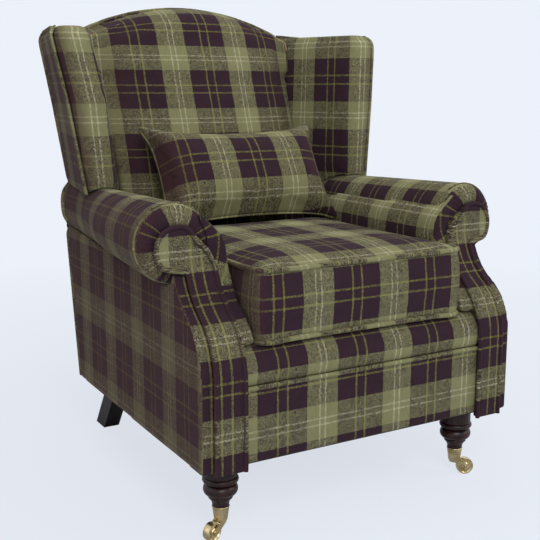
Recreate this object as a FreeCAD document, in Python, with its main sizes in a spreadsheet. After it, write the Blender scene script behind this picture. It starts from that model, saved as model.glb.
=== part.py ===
import FreeCAD, Part
import math
import os
import re
import Sketcher
from FreeCAD import Placement, Rotation, Vector

# Fireside chair: a winged armchair on two turned, castored front legs and two raked back legs.
# Millimetres. +Z is up, +X is to the right seen from the front, and the chair faces -Y.
# The origin lies on the floor, under the middle of the whole chair.

doc = FreeCAD.newDocument("fireside_chair")

SIZES = {
    # Carcass of the base
    "base_bottom": (156, "underside of the beech base frame"),
    "rail_height": (140, "depth of the four seat rails"),
    "rail_thickness": (23, "thickness of the seat rails"),
    "rail_setback": (22, "front rail behind the front of the facings"),
    "base_back": (266, "back face of the chair at the height of the base"),
    "back_angle": (9.7, "lean of the back, in degrees"),
    "side_rail_outer": (326, "outer face of the side rails, from the middle"),
    "front_post_width": (40, "width of a front post"),
    "post_setback": (4, "how far the front posts stand inside the side rails' outer face"),
    "front_post_depth": (55, "front to back size of a front post"),
    "post_in_roll": (24, "how far the front posts reach up into the roll"),
    "back_post_width": (35, "width of a back post"),
    "back_post_depth": (45, "front to back size of a back post"),
    "post_drop": (3, "top of the back posts below the wings' bevel"),
    "block_size": (75, "side of the corner blocks"),
    "block_height": (44, "height of the corner blocks"),
    "arm_rail_height": (26, "height of an arm rail"),
    "arm_rail_width": (30, "width of an arm rail"),
    "strap_width": (50, "width of the rubberised webbing"),
    "strap_thickness": (1.2, "thickness of the webbing"),
    "strap_pitch_across": (96, "spacing of the seat straps that run front to back"),
    "strap_pitch_along": (110, "spacing of the seat straps that run side to side"),
    "back_strap_bottom": (400, "height of the lowest strap behind the back pad"),
    "back_strap_pitch": (120, "spacing of the straps behind the back pad"),
    # Outline of the arms
    "facing_front": (-407, "front of the arm facings at the base"),
    "facing_setback": (114, "how far the scroll stands behind the base of the facing"),
    "facing_curve_drop": (218, "from the scroll's middle down to where the facing begins to sweep back"),
    "facing_curve_rise": (220, "height of the sweep"),
    "facing_thickness": (12, "padded facing board"),
    "facing_width": (53, "width of the facing below the scroll"),
    "facing_drop": (4, "how far the facings reach below the base"),
    "band_step": (4, "how far the cloth bands lie behind the facing"),
    "scroll_overhang": (16, "how far the middle of the scroll stands outside the side rails"),
    "scroll_z": (538, "height of the middle of the scroll"),
    "scroll_facing_radius": (42, "radius of the round end of the facing"),
    "scroll_blend_angle": (60, "turn from the facing's inner edge into the scroll, in degrees"),
    "roll_rise": (8, "middle of the roll above the scroll's, at the front"),
    "roll_radius": (74, "radius of the arm roll at the front"),
    "roll_taper_in": (33, "how far the roll's middle turns in towards the back"),
    "roll_back_rise": (14, "the same at the back"),
    "roll_back_radius": (52, "radius of the roll at the back"),
    "roll_past_back": (79, "how far back the roll runs before it is trimmed to the back"),
    "arm_thickness": (86, "from the side rails' outer face to the arm's inner face"),
    "arm_pad_thickness": (60, "thickness of the inside arm padding"),
    "arm_shoulder_drop": (18, "where the inside arm starts to turn out, below the scroll's middle"),
    "arm_shoulder_reach": (12, "how far the inside arm has turned out at its shoulder"),
    "arm_shoulder_rise": (22.6, "upper end of that turn, above the scroll's middle"),
    "arm_roll_reach": (56, "how far out the inside arm runs into the roll"),
    "arm_roll_rise": (64, "where the inside arm runs into the roll, above the scroll's middle"),
    "side_panel": (30, "padding of the outside arm at the front"),
    "side_taper": (13, "how much thinner that padding is at the back"),
    "side_rise": (1, "how far the side panels end above the base's underside"),
    "side_tuck": (7, "how far the side panels are tucked up under the roll"),
    # Seat
    "border_setback": (6, "front border behind the front of the facings"),
    "border_rise": (4, "the same for the front border"),
    "border_lap": (7, "piped line between border and lip, above the front rail"),
    "lip_height": (70, "height of the padded lip under the seat cushion"),
    "lip_radius": (46, "front rounding of the lip"),
    "lip_step": (5, "how far the lip starts behind the border"),
    "lip_lean": (31, "how far the top of the lip starts behind the border"),
    "border_rounding": (8, "rounding of the border's upper and lower edge"),
    "deck_rise": (1, "seat platform above the lip"),
    "deck_gap": (5, "from the seat platform to the inside back"),
    "cushion_side_gap": (7, "from the seat cushion's piped edge to the arm"),
    "cushion_setback": (15, "seat cushion's front edge behind the front of the facings"),
    "cushion_back_gap": (15, "from the seat cushion's back edge to the inside back"),
    "cushion_thickness": (134, "height between the piped edges of the seat cushion"),
    "cushion_crown": (14, "rise of the seat cushion above its piped edge"),
    "cushion_swell": (5, "how far the cushion's sides swell past its piped edges"),
    "cushion_draw": (5, "how far the piped edges draw in between the corners"),
    "cushion_corner": (22, "rounding of the seat cushion's corners"),
    "cushion_shoulder": (9, "rise of the cushion's top at its shoulder"),
    "cushion_shoulder_inset": (50, "distance of the shoulder from the piped edge"),
    "cushion_crown_inset": (120, "distance of the flat of the crown from the piped edge"),
    "cushion_gap": (0.4, "play under the loose seat cushion"),
    # Back
    "cover_thickness": (6, "outside back board and cloth"),
    "back_lap": (14, "how far the outside back passes the side rails"),
    "back_pad_gap": (4, "inside back padding above the back rail"),
    "back_crest_z": (1012, "top of the back in the middle"),
    "back_arch": (60, "rise of the back's arch"),
    "back_depth_low": (133, "front of the inside back ahead of the base's back, bottom middle"),
    "back_lean_high": (42, "front of the inside back behind the base's back, top middle"),
    "back_edge_fall": (36, "how far the sides of the inside back lie behind its middle"),
    "back_swell_radius": (2300, "upright bulge of the inside back"),
    "back_roll_height": (72, "height of the rolled top of the inside back"),
    "back_roll_radius": (78, "rounding of the rolled top"),
    "back_roll_end": (8, "how far the rolled top ends below the crest, at the outside back"),
    "back_tuck": (110, "how far the padding runs down behind the top rail"),
    "top_rail_cover": (26, "padding between the top rail and the crest"),
    "top_rail_height": (74, "height of the top rail at its ends"),
    "seam_spread_mid": (13, "widening of the inside back half way up the wings"),
    "seam_spread_high": (27, "widening of the inside back at the top of the wings"),
    "seam_ahead_low": (23, "seam between back and wing ahead of the base's back, at the arm"),
    "seam_behind_mid": (34, "the same seam behind it, half way up"),
    "seam_behind_high": (81, "and at the top"),
    # Wings
    "wing_foot": (32, "bottom of the wing padding above the scroll's middle"),
    "wing_mid_rise": (220, "middle section of the wing above its bottom"),
    "wing_bevel": (20, "height of the bevelled top of the wings"),
    "wing_drop": (4, "top of the wings below the ends of the arch"),
    "wing_top_inset": (13, "how far the wing's top draws in"),
    "wing_skin": (5, "outside wing board and cloth"),
    "wing_nose_radius": (46, "rounding of the wing's front edge"),
    "wing_flare_low": (32, "outer front corner of the wing past the side rails, at the arm"),
    "wing_flare_mid": (62, "the same half way up"),
    "wing_flare_high": (85, "the same at the top"),
    "wing_reach_low": (148, "outer front corner of the wing ahead of the base's back, at the arm"),
    "wing_reach_mid": (126, "the same half way up"),
    "wing_reach_high": (101, "the same at the top"),
    "wing_nose_low": (24, "inner front corner of the wing inside the side rails, at the arm"),
    "wing_nose_mid": (12, "the same half way up"),
    "wing_nose_high": (-10, "the same at the top, where it is outside them"),
    "wing_nose_reach_low": (166, "inner front corner of the wing ahead of the base's back, at the arm"),
    "wing_nose_reach_mid": (148, "the same half way up"),
    "wing_nose_reach_high": (120, "the same at the top"),
    "wing_root_mid": (20, "outer back corner of the wing past the side rails, half way up"),
    "wing_root_high": (38, "the same at the top"),
    "wing_ply": (14, "plywood wing board"),
    "wing_ply_setback": (22, "padding in front of the wing board"),
    "wing_ply_inset": (12, "padding outside the wing board's front edge"),
    "wing_ply_gap": (5, "space between the wing board and the outside back"),
    # Scatter cushion
    "scatter_width": (446, "width of the scatter cushion"),
    "scatter_height": (246, "height of the scatter cushion"),
    "scatter_thickness": (116, "thickness of the scatter cushion in its middle"),
    "scatter_edge": (10, "thickness of the scatter cushion at its piped edge"),
    "scatter_draw": (13, "how far its edges draw in between the ears"),
    "scatter_shoulder": (42, "half thickness of the scatter cushion at its shoulder"),
    "scatter_shoulder_inset": (45, "distance of its shoulder from the edge"),
    "scatter_crown_inset": (95, "distance of its crown from the edge"),
    "scatter_shoulder_draw": (3, "how far its contour still draws in at the shoulder"),
    "scatter_crown_bow": (4, "how far its contour bows out at the crown"),
    "scatter_x": (14, "sideways place of the scatter cushion"),
    "scatter_forward": (138, "middle of the scatter cushion ahead of the base's back"),
    "scatter_rise": (120, "middle of the scatter cushion above the seat cushion's piped edge"),
    "scatter_lean": (30, "lean of the scatter cushion from upright, in degrees"),
    # Legs and castors
    "leg_inset": (43, "turned leg's axis inside the side rails' outer face"),
    "leg_setback": (75, "turned leg's axis behind the front of the facings"),
    "leg_block_radius": (31, "turned leg above its collar"),
    "leg_collar_radius": (34, "turned collar"),
    "leg_block_height": (41, "from the base down to the middle of the collar"),
    "leg_collar_half": (6, "half height of the collar"),
    "leg_bulb_radius": (32.5, "widest part of the turned bulb"),
    "leg_bulb_drop": (19, "from the collar down to the bulb"),
    "leg_bulb_half": (12, "half height of the bulb"),
    "leg_ring_radius": (23, "small ring under the bulb"),
    "leg_ring_drop": (16, "from the bulb down to the ring"),
    "leg_ring_half": (3.5, "half height of the ring"),
    "leg_ankle_radius": (15.8, "narrowest part above the brass cup"),
    "leg_cove_radius": (20, "hollow above the brass cup"),
    "leg_ring_neck": (20.5, "neck beside the ring"),
    "leg_bulb_neck": (24, "neck beside the bulb"),
    "leg_collar_neck": (30, "neck beside the collar"),
    "leg_bolt_radius": (4, "hanger bolt in a front leg"),
    "leg_bolt_reach": (34, "how far the hanger bolts reach down into the front legs"),
    "back_leg_inset": (56, "back leg inside the side rails' outer face"),
    "back_leg_width": (38, "width of a back leg"),
    "back_leg_setback": (61, "front of a back leg ahead of the base's back, at the base"),
    "back_leg_top_depth": (57, "front to back size of a back leg at the base"),
    "back_leg_rake": (50, "front of a back leg behind the base's back, on the floor"),
    "back_leg_foot_depth": (54, "front to back size of a back leg on the floor"),
    "cup_top": (62, "rim of the brass cup"),
    "cup_bottom": (34.2, "underside of the brass cup"),
    "cup_top_radius": (16, "outer radius of the cup's rim"),
    "cup_bottom_radius": (12.4, "outer radius of the cup's base"),
    "cup_wall": (1.4, "wall of the cup"),
    "cup_floor": (3, "floor of the cup"),
    "cup_rim": (1.1, "rolled rim of the cup"),
    "kingpin_radius": (4, "riveted kingpin"),
    "kingpin_head_radius": (6, "kingpin head under the fork"),
    "kingpin_head": (1.8, "thickness of both kingpin heads"),
    "tenon_gap": (0.5, "space between the kingpin and the leg's tenon"),
    "fork_play": (0.4, "play between cup and fork"),
    "fork_crown": (4, "thickness of the fork's crown"),
    "fork_crown_reach": (8, "how far the fork's crown reaches towards the wheel"),
    "fork_horn_top": (8, "where the top edge of a cheek leaves the crown"),
    "fork_horn_back": (2, "how far a cheek starts behind the kingpin"),
    "castor_yaw": (20, "turn of the resting castors from straight sideways, in degrees"),
    "running_clearance": (0.05, "radial clearance of a turning fit"),
    "castor_trail": (24, "distance from kingpin to axle"),
    "wheel_radius": (18, "brass wheel"),
    "wheel_width": (15, "width of the wheel"),
    "wheel_crown": (1, "fall of the tread from its middle to its edge"),
    "wheel_dish": (2, "depth of the dished side of the wheel"),
    "wheel_hub_radius": (6, "hub of the wheel"),
    "wheel_rim": (2, "thickness of the wheel's rim"),
    "wheel_side_play": (0.8, "gap between wheel and cheek"),
    "cheek_thickness": (2.4, "thickness of a fork cheek"),
    "cheek_end_radius": (6.2, "round end of a cheek at the axle"),
    "axle_radius": (2.5, "radius of the axle"),
    "axle_head_radius": (4, "riveted end of the axle"),
    "axle_head": (1.2, "height of the riveted end"),
    "dust_cover": (1.2, "thickness of the black lining under the base"),
}

# Sizes that follow others, so that each piece keeps to what carries it.
TIED = {
    "front_post_outer": "side_rail_outer - post_setback",
    "front_post_inner": "front_post_outer - front_post_width",
    "facing_outer": "side_rail_outer",
    "facing_inner": "side_rail_outer - facing_width",
    "scroll_x": "side_rail_outer + scroll_overhang",
    "roll_back_x": "scroll_x - roll_taper_in",
    "arm_inner": "side_rail_outer - arm_thickness",
    "arm_shoulder_x": "arm_inner + arm_shoulder_reach",
    "arm_shoulder_radius": "(arm_shoulder_reach^2 + (arm_shoulder_top - arm_shoulder_z)^2) / (2 * arm_shoulder_reach)",
    "arm_meets_roll_x": "arm_inner + arm_roll_reach",
    "side_outer": "side_rail_outer + side_panel",
    "side_outer_back": "side_outer - side_taper",
    "back_half_width": "side_rail_outer + back_lap",
    "seam_low": "arm_inner",
    "seam_mid": "arm_inner + seam_spread_mid",
    "seam_high": "arm_inner + seam_spread_high",
    "wing_outer_low": "side_rail_outer + wing_flare_low",
    "wing_outer_mid": "side_rail_outer + wing_flare_mid",
    "wing_outer_high": "side_rail_outer + wing_flare_high",
    "wing_inner_low": "side_rail_outer - wing_nose_low",
    "wing_inner_mid": "side_rail_outer - wing_nose_mid",
    "wing_inner_high": "side_rail_outer - wing_nose_high",
    "wing_back_low": "side_rail_outer",
    "wing_back_mid": "side_rail_outer + wing_root_mid",
    "wing_back_high": "side_rail_outer + wing_root_high",
    "cushion_half_width": "arm_inner - cushion_side_gap",
    "leg_x": "side_rail_outer - leg_inset",
    "back_leg_inner": "side_rail_outer - back_leg_inset - back_leg_width",
    "rail_front": "facing_front + rail_setback",
    "border_front": "facing_front + border_setback",
    "lip_back": "facing_front + facing_thickness + front_post_depth",
    "cushion_front": "facing_front + cushion_setback",
    "leg_y": "facing_front + leg_setback",
    "strap_along_y": "(facing_front + base_back) / 2",
    "back_front_low": "base_back - back_depth_low",
    "back_front_high": "base_back + back_lean_high",
    "deck_back": "back_front_low - deck_gap",
    "cushion_back": "back_front_low - cushion_back_gap",
    "seam_low_y": "base_back - seam_ahead_low",
    "seam_mid_y": "base_back + seam_behind_mid",
    "seam_high_y": "base_back + seam_behind_high",
    "wing_outer_low_y": "base_back - wing_reach_low",
    "wing_outer_mid_y": "base_back - wing_reach_mid",
    "wing_outer_high_y": "base_back - wing_reach_high",
    "wing_inner_low_y": "base_back - wing_nose_reach_low",
    "wing_inner_mid_y": "base_back - wing_nose_reach_mid",
    "wing_inner_high_y": "base_back - wing_nose_reach_high",
    "back_leg_top_front": "base_back - back_leg_setback",
    "back_leg_foot_front": "base_back + back_leg_rake",
    "roll_back_y": "base_back + roll_past_back",
    "scatter_y": "base_back - scatter_forward",
    "facing_bottom": "base_bottom - facing_drop",
    "side_bottom": "base_bottom + side_rise",
    "border_bottom": "base_bottom + border_rise",
    "border_top": "base_bottom + rail_height + border_lap",
    "lip_top": "border_top + lip_height",
    "deck_top": "lip_top + deck_rise",
    "back_pad_bottom": "base_bottom + rail_height + back_pad_gap",
    "facing_curve_bottom": "scroll_z - facing_curve_drop",
    "front_post_top": "scroll_z + post_in_roll",
    "roll_z": "scroll_z + roll_rise",
    "roll_back_z": "scroll_z + roll_back_rise",
    "arm_rail_bottom": "scroll_z - arm_rail_height",
    "arm_shoulder_z": "scroll_z - arm_shoulder_drop",
    "arm_shoulder_top": "scroll_z + arm_shoulder_rise",
    "arm_meets_roll_z": "scroll_z + arm_roll_rise",
    "side_top": "scroll_z + side_tuck",
    "wing_low_z": "scroll_z + wing_foot",
    "wing_mid_z": "wing_low_z + wing_mid_rise",
    "back_crest_side_z": "back_crest_z - back_arch",
    "wing_top_z": "back_crest_side_z - wing_drop",
    "wing_high_z": "wing_top_z - wing_bevel",
    "back_post_top": "wing_high_z - post_drop",
    "scatter_z": "deck_top + cushion_thickness + scatter_rise",
    "leg_bolt_bottom": "base_bottom - leg_bolt_reach",
    "leg_collar_z": "base_bottom - leg_block_height",
    "leg_bulb_z": "leg_collar_z - leg_bulb_drop",
    "leg_ring_z": "leg_bulb_z - leg_ring_drop",
}

sheet = doc.addObject("Spreadsheet::Sheet", "sizes")
for row, (name, (number, note)) in enumerate(SIZES.items(), start=1):
    sheet.set(f"A{row}", note)
    sheet.set(f"B{row}", str(number))
    sheet.setAlias(f"B{row}", name)
doc.recompute()

WORD = re.compile(r"[a-z_][a-z_0-9]*")


def refer(found):
    """The sheet's cell for a name, or the formula of a name that follows others."""
    name = found[0]
    if name in TIED:
        return f"({bound(TIED[name])})"
    return f"sizes.{name}" if name in SIZES else name


def bound(text):
    """Turns the names in a formula into references to the sheet's cells."""
    return WORD.sub(refer, str(text))


def value(text):
    """Works out a formula of the sheet's names."""
    return float(sheet.evalExpression(bound(text)))


def bind(item, setting, text):
    """Binds one setting of an object to a formula of the sheet's names."""
    item.setExpression(setting, bound(text))


# The sweep of the arm's front, and the lean of the back, as formulas that many pieces share.
SWEEP_RADIUS = "(facing_setback^2 + facing_curve_rise^2) / (4 * facing_setback)"
LEAN = "tan(back_angle * 1 deg)"
STRETCH = "/ cos(back_angle * 1 deg)"


def back_face(height, depth="0"):
    """The y of the leaning back face at a height, or of a face that lies depth in front of it."""
    return f"base_back + (({height}) - base_bottom) * {LEAN} - ({depth}) {STRETCH}"


def sweep(depth, top):
    """The arm's front line seen from the side, from the facing's bottom up, set back by depth."""
    front = f"facing_front + {depth}"
    return [
        (front, "facing_bottom"),
        (front, "facing_curve_bottom", SWEEP_RADIUS, -1),
        (f"{front} + facing_setback / 2", "facing_curve_bottom + facing_curve_rise / 2", SWEEP_RADIUS, 1),
        (f"{front} + facing_setback", "facing_curve_bottom + facing_curve_rise"),
        (f"{front} + facing_setback", top),
    ]


def reverse(outline):
    """The same outline walked the other way, with its arcs turned round."""
    corners = [corner[:2] for corner in outline][::-1]
    arcs = [corner[2:] for corner in outline[:-1]][::-1]
    walked = []
    for corner, arc in zip(corners, arcs + [()]):
        walked.append(corner + ((arc[0], -arc[1]) if arc else ()))
    return walked


def sketch(body, plane, outline, offset="0", side=1):
    """A closed sketch: each corner is (across, up), or (across, up, radius, turn) where an arc follows.

    turn is 1 for an anticlockwise arc and -1 for a clockwise one, and side -1 mirrors the outline.
    """
    drawn = body.newObject("Sketcher::SketchObject", "sketch")
    drawn.AttachmentSupport = [(next(o for o in body.Origin.OriginFeatures if o.Role == plane), "")]
    drawn.MapMode = "FlatFace"
    bind(drawn, "AttachmentOffset.Base.z", offset)
    corners = []
    for corner in outline:
        across = corner[0] if side == 1 else f"-({corner[0]})"
        corners.append((across, corner[1]) + ((corner[2], corner[3] * side) if len(corner) == 4 else ()))
    places = [Vector(value(corner[0]), value(corner[1]), 0) for corner in corners]
    starts, ends, radii = [], [], []
    for number, corner in enumerate(corners):
        here, there = places[number], places[(number + 1) % len(places)]
        if len(corner) == 2:
            drawn.addGeometry(Part.LineSegment(here, there))
            starts.append(1)
            ends.append(2)
            continue
        radius, turn = value(corner[2]), corner[3]
        chord = there - here
        reach = math.sqrt(max(radius**2 - (chord.Length / 2) ** 2, 0))
        normal = Vector(-chord.y, chord.x, 0).normalize()
        centre = (here + there) * 0.5 + normal * (reach * turn)
        first, last = (here, there) if turn == 1 else (there, here)
        angles = [math.atan2(end.y - centre.y, end.x - centre.x) for end in (first, last)]
        if angles[1] < angles[0]:
            angles[1] += 2 * math.pi
        drawn.addGeometry(Part.ArcOfCircle(Part.Circle(centre, Vector(0, 0, 1), radius), *angles))
        starts.append(1 if turn == 1 else 2)
        ends.append(2 if turn == 1 else 1)
        radii.append((number, corner[2]))
    for number in range(len(corners)):
        following = (number + 1) % len(corners)
        drawn.addConstraint(
            Sketcher.Constraint("Coincident", number, ends[number], following, starts[following])
        )
    for number, corner in enumerate(corners):
        for kind, text, axis in (("DistanceX", corner[0], -2), ("DistanceY", corner[1], -1)):
            place = value(text)
            if abs(place) < 1e-9:
                drawn.addConstraint(Sketcher.Constraint("PointOnObject", number, starts[number], axis))
                continue
            index = drawn.addConstraint(Sketcher.Constraint(kind, -1, 1, number, starts[number], place))
            bind(drawn, f"Constraints[{index}]", text)
    for number, text in radii:
        index = drawn.addConstraint(Sketcher.Constraint("Radius", number, value(text)))
        bind(drawn, f"Constraints[{index}]", text)
    return drawn


def new_body(label):
    """An empty body with the piece's name."""
    body = doc.addObject("PartDesign::Body", "body")
    body.Label = label
    return body


def pad(body, plane, outline, low, high, side=1):
    """Pads an outline between two distances along its plane's axis, given as low and high.

    side -1 gives the other hand: an outline across X is mirrored, and one seen along X changes sides.
    """
    mirrored = side if plane != "YZ_Plane" else 1
    if plane == "YZ_Plane" and side == -1:
        low, high = f"-({high})", f"-({low})"
    start = f"-({high})" if plane == "XZ_Plane" else low
    feature = body.newObject("PartDesign::Pad", "pad")
    feature.Profile = sketch(body, plane, outline, start, mirrored)
    bind(feature, "Length", f"({high}) - ({low})")
    return feature


def trim(body, plane, outline, side=1):
    """Cuts an outline right through the body, both ways."""
    feature = body.newObject("PartDesign::Pocket", "trim")
    feature.Profile = sketch(body, plane, outline, side=side)
    feature.Type = 1
    feature.Midplane = True
    return feature


def round_edges(body, chosen, radius):
    """Rounds the edges of the body's last feature for which chosen(edge) is true."""
    doc.recompute()
    last = body.Tip
    names = [f"Edge{n}" for n, edge in enumerate(last.Shape.Edges, start=1) if chosen(edge)]
    feature = body.newObject("PartDesign::Fillet", "rounding")
    feature.Base = (last, names)
    bind(feature, "Radius", radius)
    return feature


def turn(body, outline, plane="XZ_Plane"):
    """Turns a half outline about the body's own upright axis."""
    feature = body.newObject("PartDesign::Revolution", "turning")
    feature.Profile = sketch(body, plane, outline)
    feature.ReferenceAxis = (feature.Profile[0], ["V_Axis"])
    feature.Angle = 360
    return feature


def loft(body, plane, sections, ruled=False, side=1):
    """Lofts through sections, each (offset along the plane's axis, outline)."""
    drawn = [sketch(body, plane, outline, offset, side) for offset, outline in sections]
    feature = body.newObject("PartDesign::AdditiveLoft", "loft")
    feature.Profile = drawn[0]
    feature.Sections = drawn[1:]
    feature.Ruled = ruled
    return feature


def box(label, low, high):
    """A plain block between two corners, each three formulas."""
    block = doc.addObject("Part::Box", "block")
    block.Label = label
    for setting, start, end in zip(("Length", "Width", "Height"), low, high):
        bind(block, setting, f"({end}) - ({start})")
    for axis, start in zip("xyz", low):
        bind(block, f"Placement.Base.{axis}", start)
    return block


def mirrored_box(label, low, high, side):
    """A block on the right, or for side -1 its mirror image on the left."""
    if side == -1:
        low, high = (f"-({high[0]})", *low[1:]), (f"-({low[0]})", *high[1:])
    return box(label, low, high)


def rod(label, radius, place, height):
    """An upright round bar."""
    bar = doc.addObject("Part::Cylinder", "bar")
    bar.Label = label
    bind(bar, "Radius", radius)
    bind(bar, "Height", height)
    for axis, text in zip("xyz", place):
        bind(bar, f"Placement.Base.{axis}", text)
    return bar


def carve(label, piece, tools):
    """Cuts every tool out of a piece, and gives the result the piece's name."""
    for tool in tools:
        cut = doc.addObject("Part::Cut", "carved")
        cut.Base = piece
        cut.Tool = tool
        piece = cut
    piece.Label = label
    return piece


def group(label, members):
    """Like pieces that share one name."""
    joined = doc.addObject("Part::Compound", "group")
    joined.Links = members
    joined.Label = label
    return joined


PIECES = []


def keep(piece):
    """Adds a finished piece to those that are written out."""
    PIECES.append(piece)
    return piece


HANDS = (("left", -1), ("right", 1))

# Front rail, upright beech between the front posts.
RAIL_TOP = "base_bottom + rail_height"
front_rail = keep(
    box(
        "front_rail",
        ("-front_post_inner", "rail_front", "base_bottom"),
        ("front_post_inner", "rail_front + rail_thickness", RAIL_TOP),
    )
)

# Back posts lean with the back and stand inside the side rails.
POST_OUTER = "(side_rail_outer - rail_thickness)"
POST_SIDE = f"({POST_OUTER} - back_post_width)"
POST_BACK = "cover_thickness"
POST_FRONT = "cover_thickness + back_post_depth"
back_posts = {}
for hand, side in HANDS:
    body = new_body(f"back_post_{hand}")
    post = [
        (back_face("base_bottom", POST_FRONT), "base_bottom"),
        (back_face("base_bottom", POST_BACK), "base_bottom"),
        (back_face("back_post_top", POST_BACK), "back_post_top"),
        (back_face("back_post_top", POST_FRONT), "back_post_top"),
    ]
    pad(body, "YZ_Plane", post, POST_SIDE, POST_OUTER, side)
    back_posts[hand] = keep(body)

# Side rails run from the front posts to the back face of the frame, outside the back posts.
side_rails = {}
for hand, side in HANDS:
    body = new_body(f"side_rail_{hand}")
    rail = [
        ("facing_front + facing_thickness + front_post_depth", "base_bottom"),
        (back_face("base_bottom", POST_BACK), "base_bottom"),
        (back_face(RAIL_TOP, POST_BACK), RAIL_TOP),
        ("facing_front + facing_thickness + front_post_depth", RAIL_TOP),
    ]
    pad(body, "YZ_Plane", rail, POST_OUTER, "side_rail_outer", side)
    side_rails[hand] = keep(body)

# Back rail, between the back posts.
keep(
    box(
        "back_rail",
        (f"-({POST_SIDE})", back_face("base_bottom", POST_FRONT), "base_bottom"),
        (POST_SIDE, back_face("base_bottom", POST_FRONT) + " + rail_thickness", RAIL_TOP),
    )
)

# Front posts follow the sweep of the arm's front, from the base up into the scroll.
front_posts = {}
for hand, side in HANDS:
    body = new_body(f"front_post_{hand}")
    front = sweep("facing_thickness", "front_post_top")
    back = sweep("facing_thickness + front_post_depth", "front_post_top")
    front[0] = (front[0][0], "base_bottom")
    back[0] = (back[0][0], "base_bottom")
    pad(body, "YZ_Plane", reverse(front) + back, "front_post_inner", "front_post_outer", side)
    front_posts[hand] = keep(body)

# Corner blocks, glued inside the base. The front pair takes the hanger bolts of the legs.
leg_bolts = {}
blocks = []
for hand, side in HANDS:
    leg_bolts[hand] = rod(
        f"leg_bolt_{hand}",
        "leg_bolt_radius",
        (f"{side} * leg_x", "leg_y", "leg_bolt_bottom"),
        "base_bottom + block_height - leg_bolt_bottom",
    )
    front_block = mirrored_box(
        "front_block",
        (f"{POST_OUTER} - block_size", "rail_front + rail_thickness", "base_bottom"),
        (POST_OUTER, "rail_front + rail_thickness + block_size", "base_bottom + block_height"),
        side,
    )
    blocks.append(carve("front_block", front_block, [front_posts[hand], leg_bolts[hand]]))
    blocks.append(
        mirrored_box(
            "back_block",
            (f"{POST_OUTER} - block_size", back_face("base_bottom", POST_FRONT) + " - block_size", "base_bottom"),
            (POST_OUTER, back_face("base_bottom", POST_FRONT), "base_bottom + block_height"),
            side,
        )
    )
keep(group("corner_blocks", blocks))
keep(group("leg_bolts", list(leg_bolts.values())))

# Arm rails, let in behind the front posts and screwed to the outside of the back posts.
arm_rails = {}
for hand, side in HANDS:
    rail = mirrored_box(
        "arm_rail",
        (POST_OUTER, "facing_front + facing_setback + facing_thickness", "arm_rail_bottom"),
        (
            f"{POST_OUTER} + arm_rail_width",
            back_face("arm_rail_bottom", POST_BACK),
            "arm_rail_bottom + arm_rail_height",
        ),
        side,
    )
    arm_rails[hand] = keep(carve(f"arm_rail_{hand}", rail, [front_posts[hand]]))


def place(body, base, axis, angle):
    """Sets a body at a place, turned about an axis by an angle in degrees."""
    body.Placement = Placement(Vector(*map(value, base)), Rotation(Vector(*axis), value(angle)))
    for letter, text in zip("xyz", base):
        bind(body, f"Placement.Base.{letter}", text)
    bind(body, "Placement.Rotation.Angle", f"({angle}) * 1 deg")


def tip_back(body):
    """Leans a body, drawn upright behind the foot of the outside back, as far as the back leans."""
    place(body, ("0", "base_back", "base_bottom"), (-1, 0, 0), "back_angle")


def leaning(height):
    """The distance along the lean of an upright height."""
    return f"(({height}) - base_bottom) {STRETCH}"




def circle(across, up, radius):
    """A circle as four quarter arcs."""
    return [
        (f"{across} + {radius}", up, radius, 1),
        (across, f"{up} + {radius}", radius, 1),
        (f"{across} - {radius}", up, radius, 1),
        (across, f"{up} - {radius}", radius, 1),
    ]


def bow(half_chord, rise):
    """The radius of an arc over a half chord with a given rise."""
    return f"((({half_chord})^2 + ({rise})^2) / (2 * ({rise})))"


# Top rail, cut to the arch of the back between the posts.
CREST_CHORD = f"({leaning('back_crest_z')} - ({leaning('back_crest_side_z')}))"
ARCH_RADIUS = f"((seam_high^2 + {CREST_CHORD}^2) / (2 * {CREST_CHORD}))"
RAIL_ENDS = f"{leaning('back_crest_side_z')} - top_rail_cover"
top_rail = new_body("top_rail")
top_rail_outline = [
    (f"-{POST_SIDE}", f"{RAIL_ENDS} - top_rail_height"),
    (POST_SIDE, f"{RAIL_ENDS} - top_rail_height"),
    (POST_SIDE, RAIL_ENDS, ARCH_RADIUS, 1),
    (f"-{POST_SIDE}", RAIL_ENDS),
]
pad(top_rail, "XZ_Plane", top_rail_outline, f"-({POST_FRONT})", f"-({POST_FRONT}) + rail_thickness")
tip_back(top_rail)
keep(top_rail)

# Rubberised webbing across the seat: five straps from side to side, five from front to back over them.
straps = []
for number in range(-2, 3):
    straps.append(
        box(
            "strap",
            ("-side_rail_outer", f"strap_along_y + {number} * strap_pitch_along - strap_width / 2", RAIL_TOP),
            (
                "side_rail_outer",
                f"strap_along_y + {number} * strap_pitch_along + strap_width / 2",
                f"{RAIL_TOP} + strap_thickness",
            ),
        )
    )
    straps.append(
        box(
            "strap",
            (
                f"{number} * strap_pitch_across - strap_width / 2",
                "rail_front",
                f"{RAIL_TOP} + strap_thickness",
            ),
            (
                f"{number} * strap_pitch_across + strap_width / 2",
                back_face("base_bottom", POST_FRONT) + " + rail_thickness",
                f"{RAIL_TOP} + 2 * strap_thickness",
            ),
        )
    )
keep(group("seat_webbing", straps))
SEAT_BOTTOM = f"{RAIL_TOP} + 2 * strap_thickness"

# Webbing across the front of the back posts.
BACK_PAD_DEPTH = f"{POST_FRONT} + strap_thickness"
straps = []
for number in range(4):
    low = leaning(f"back_strap_bottom + {number} * back_strap_pitch")
    strap = new_body("strap")
    outline = [
        (f"-{POST_OUTER}", low),
        (POST_OUTER, low),
        (POST_OUTER, f"{low} + strap_width"),
        (f"-{POST_OUTER}", f"{low} + strap_width"),
    ]
    pad(strap, "XZ_Plane", outline, f"-({BACK_PAD_DEPTH})", f"-({POST_FRONT})")
    tip_back(strap)
    straps.append(strap)
back_webbing = keep(group("back_webbing", straps))

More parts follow.
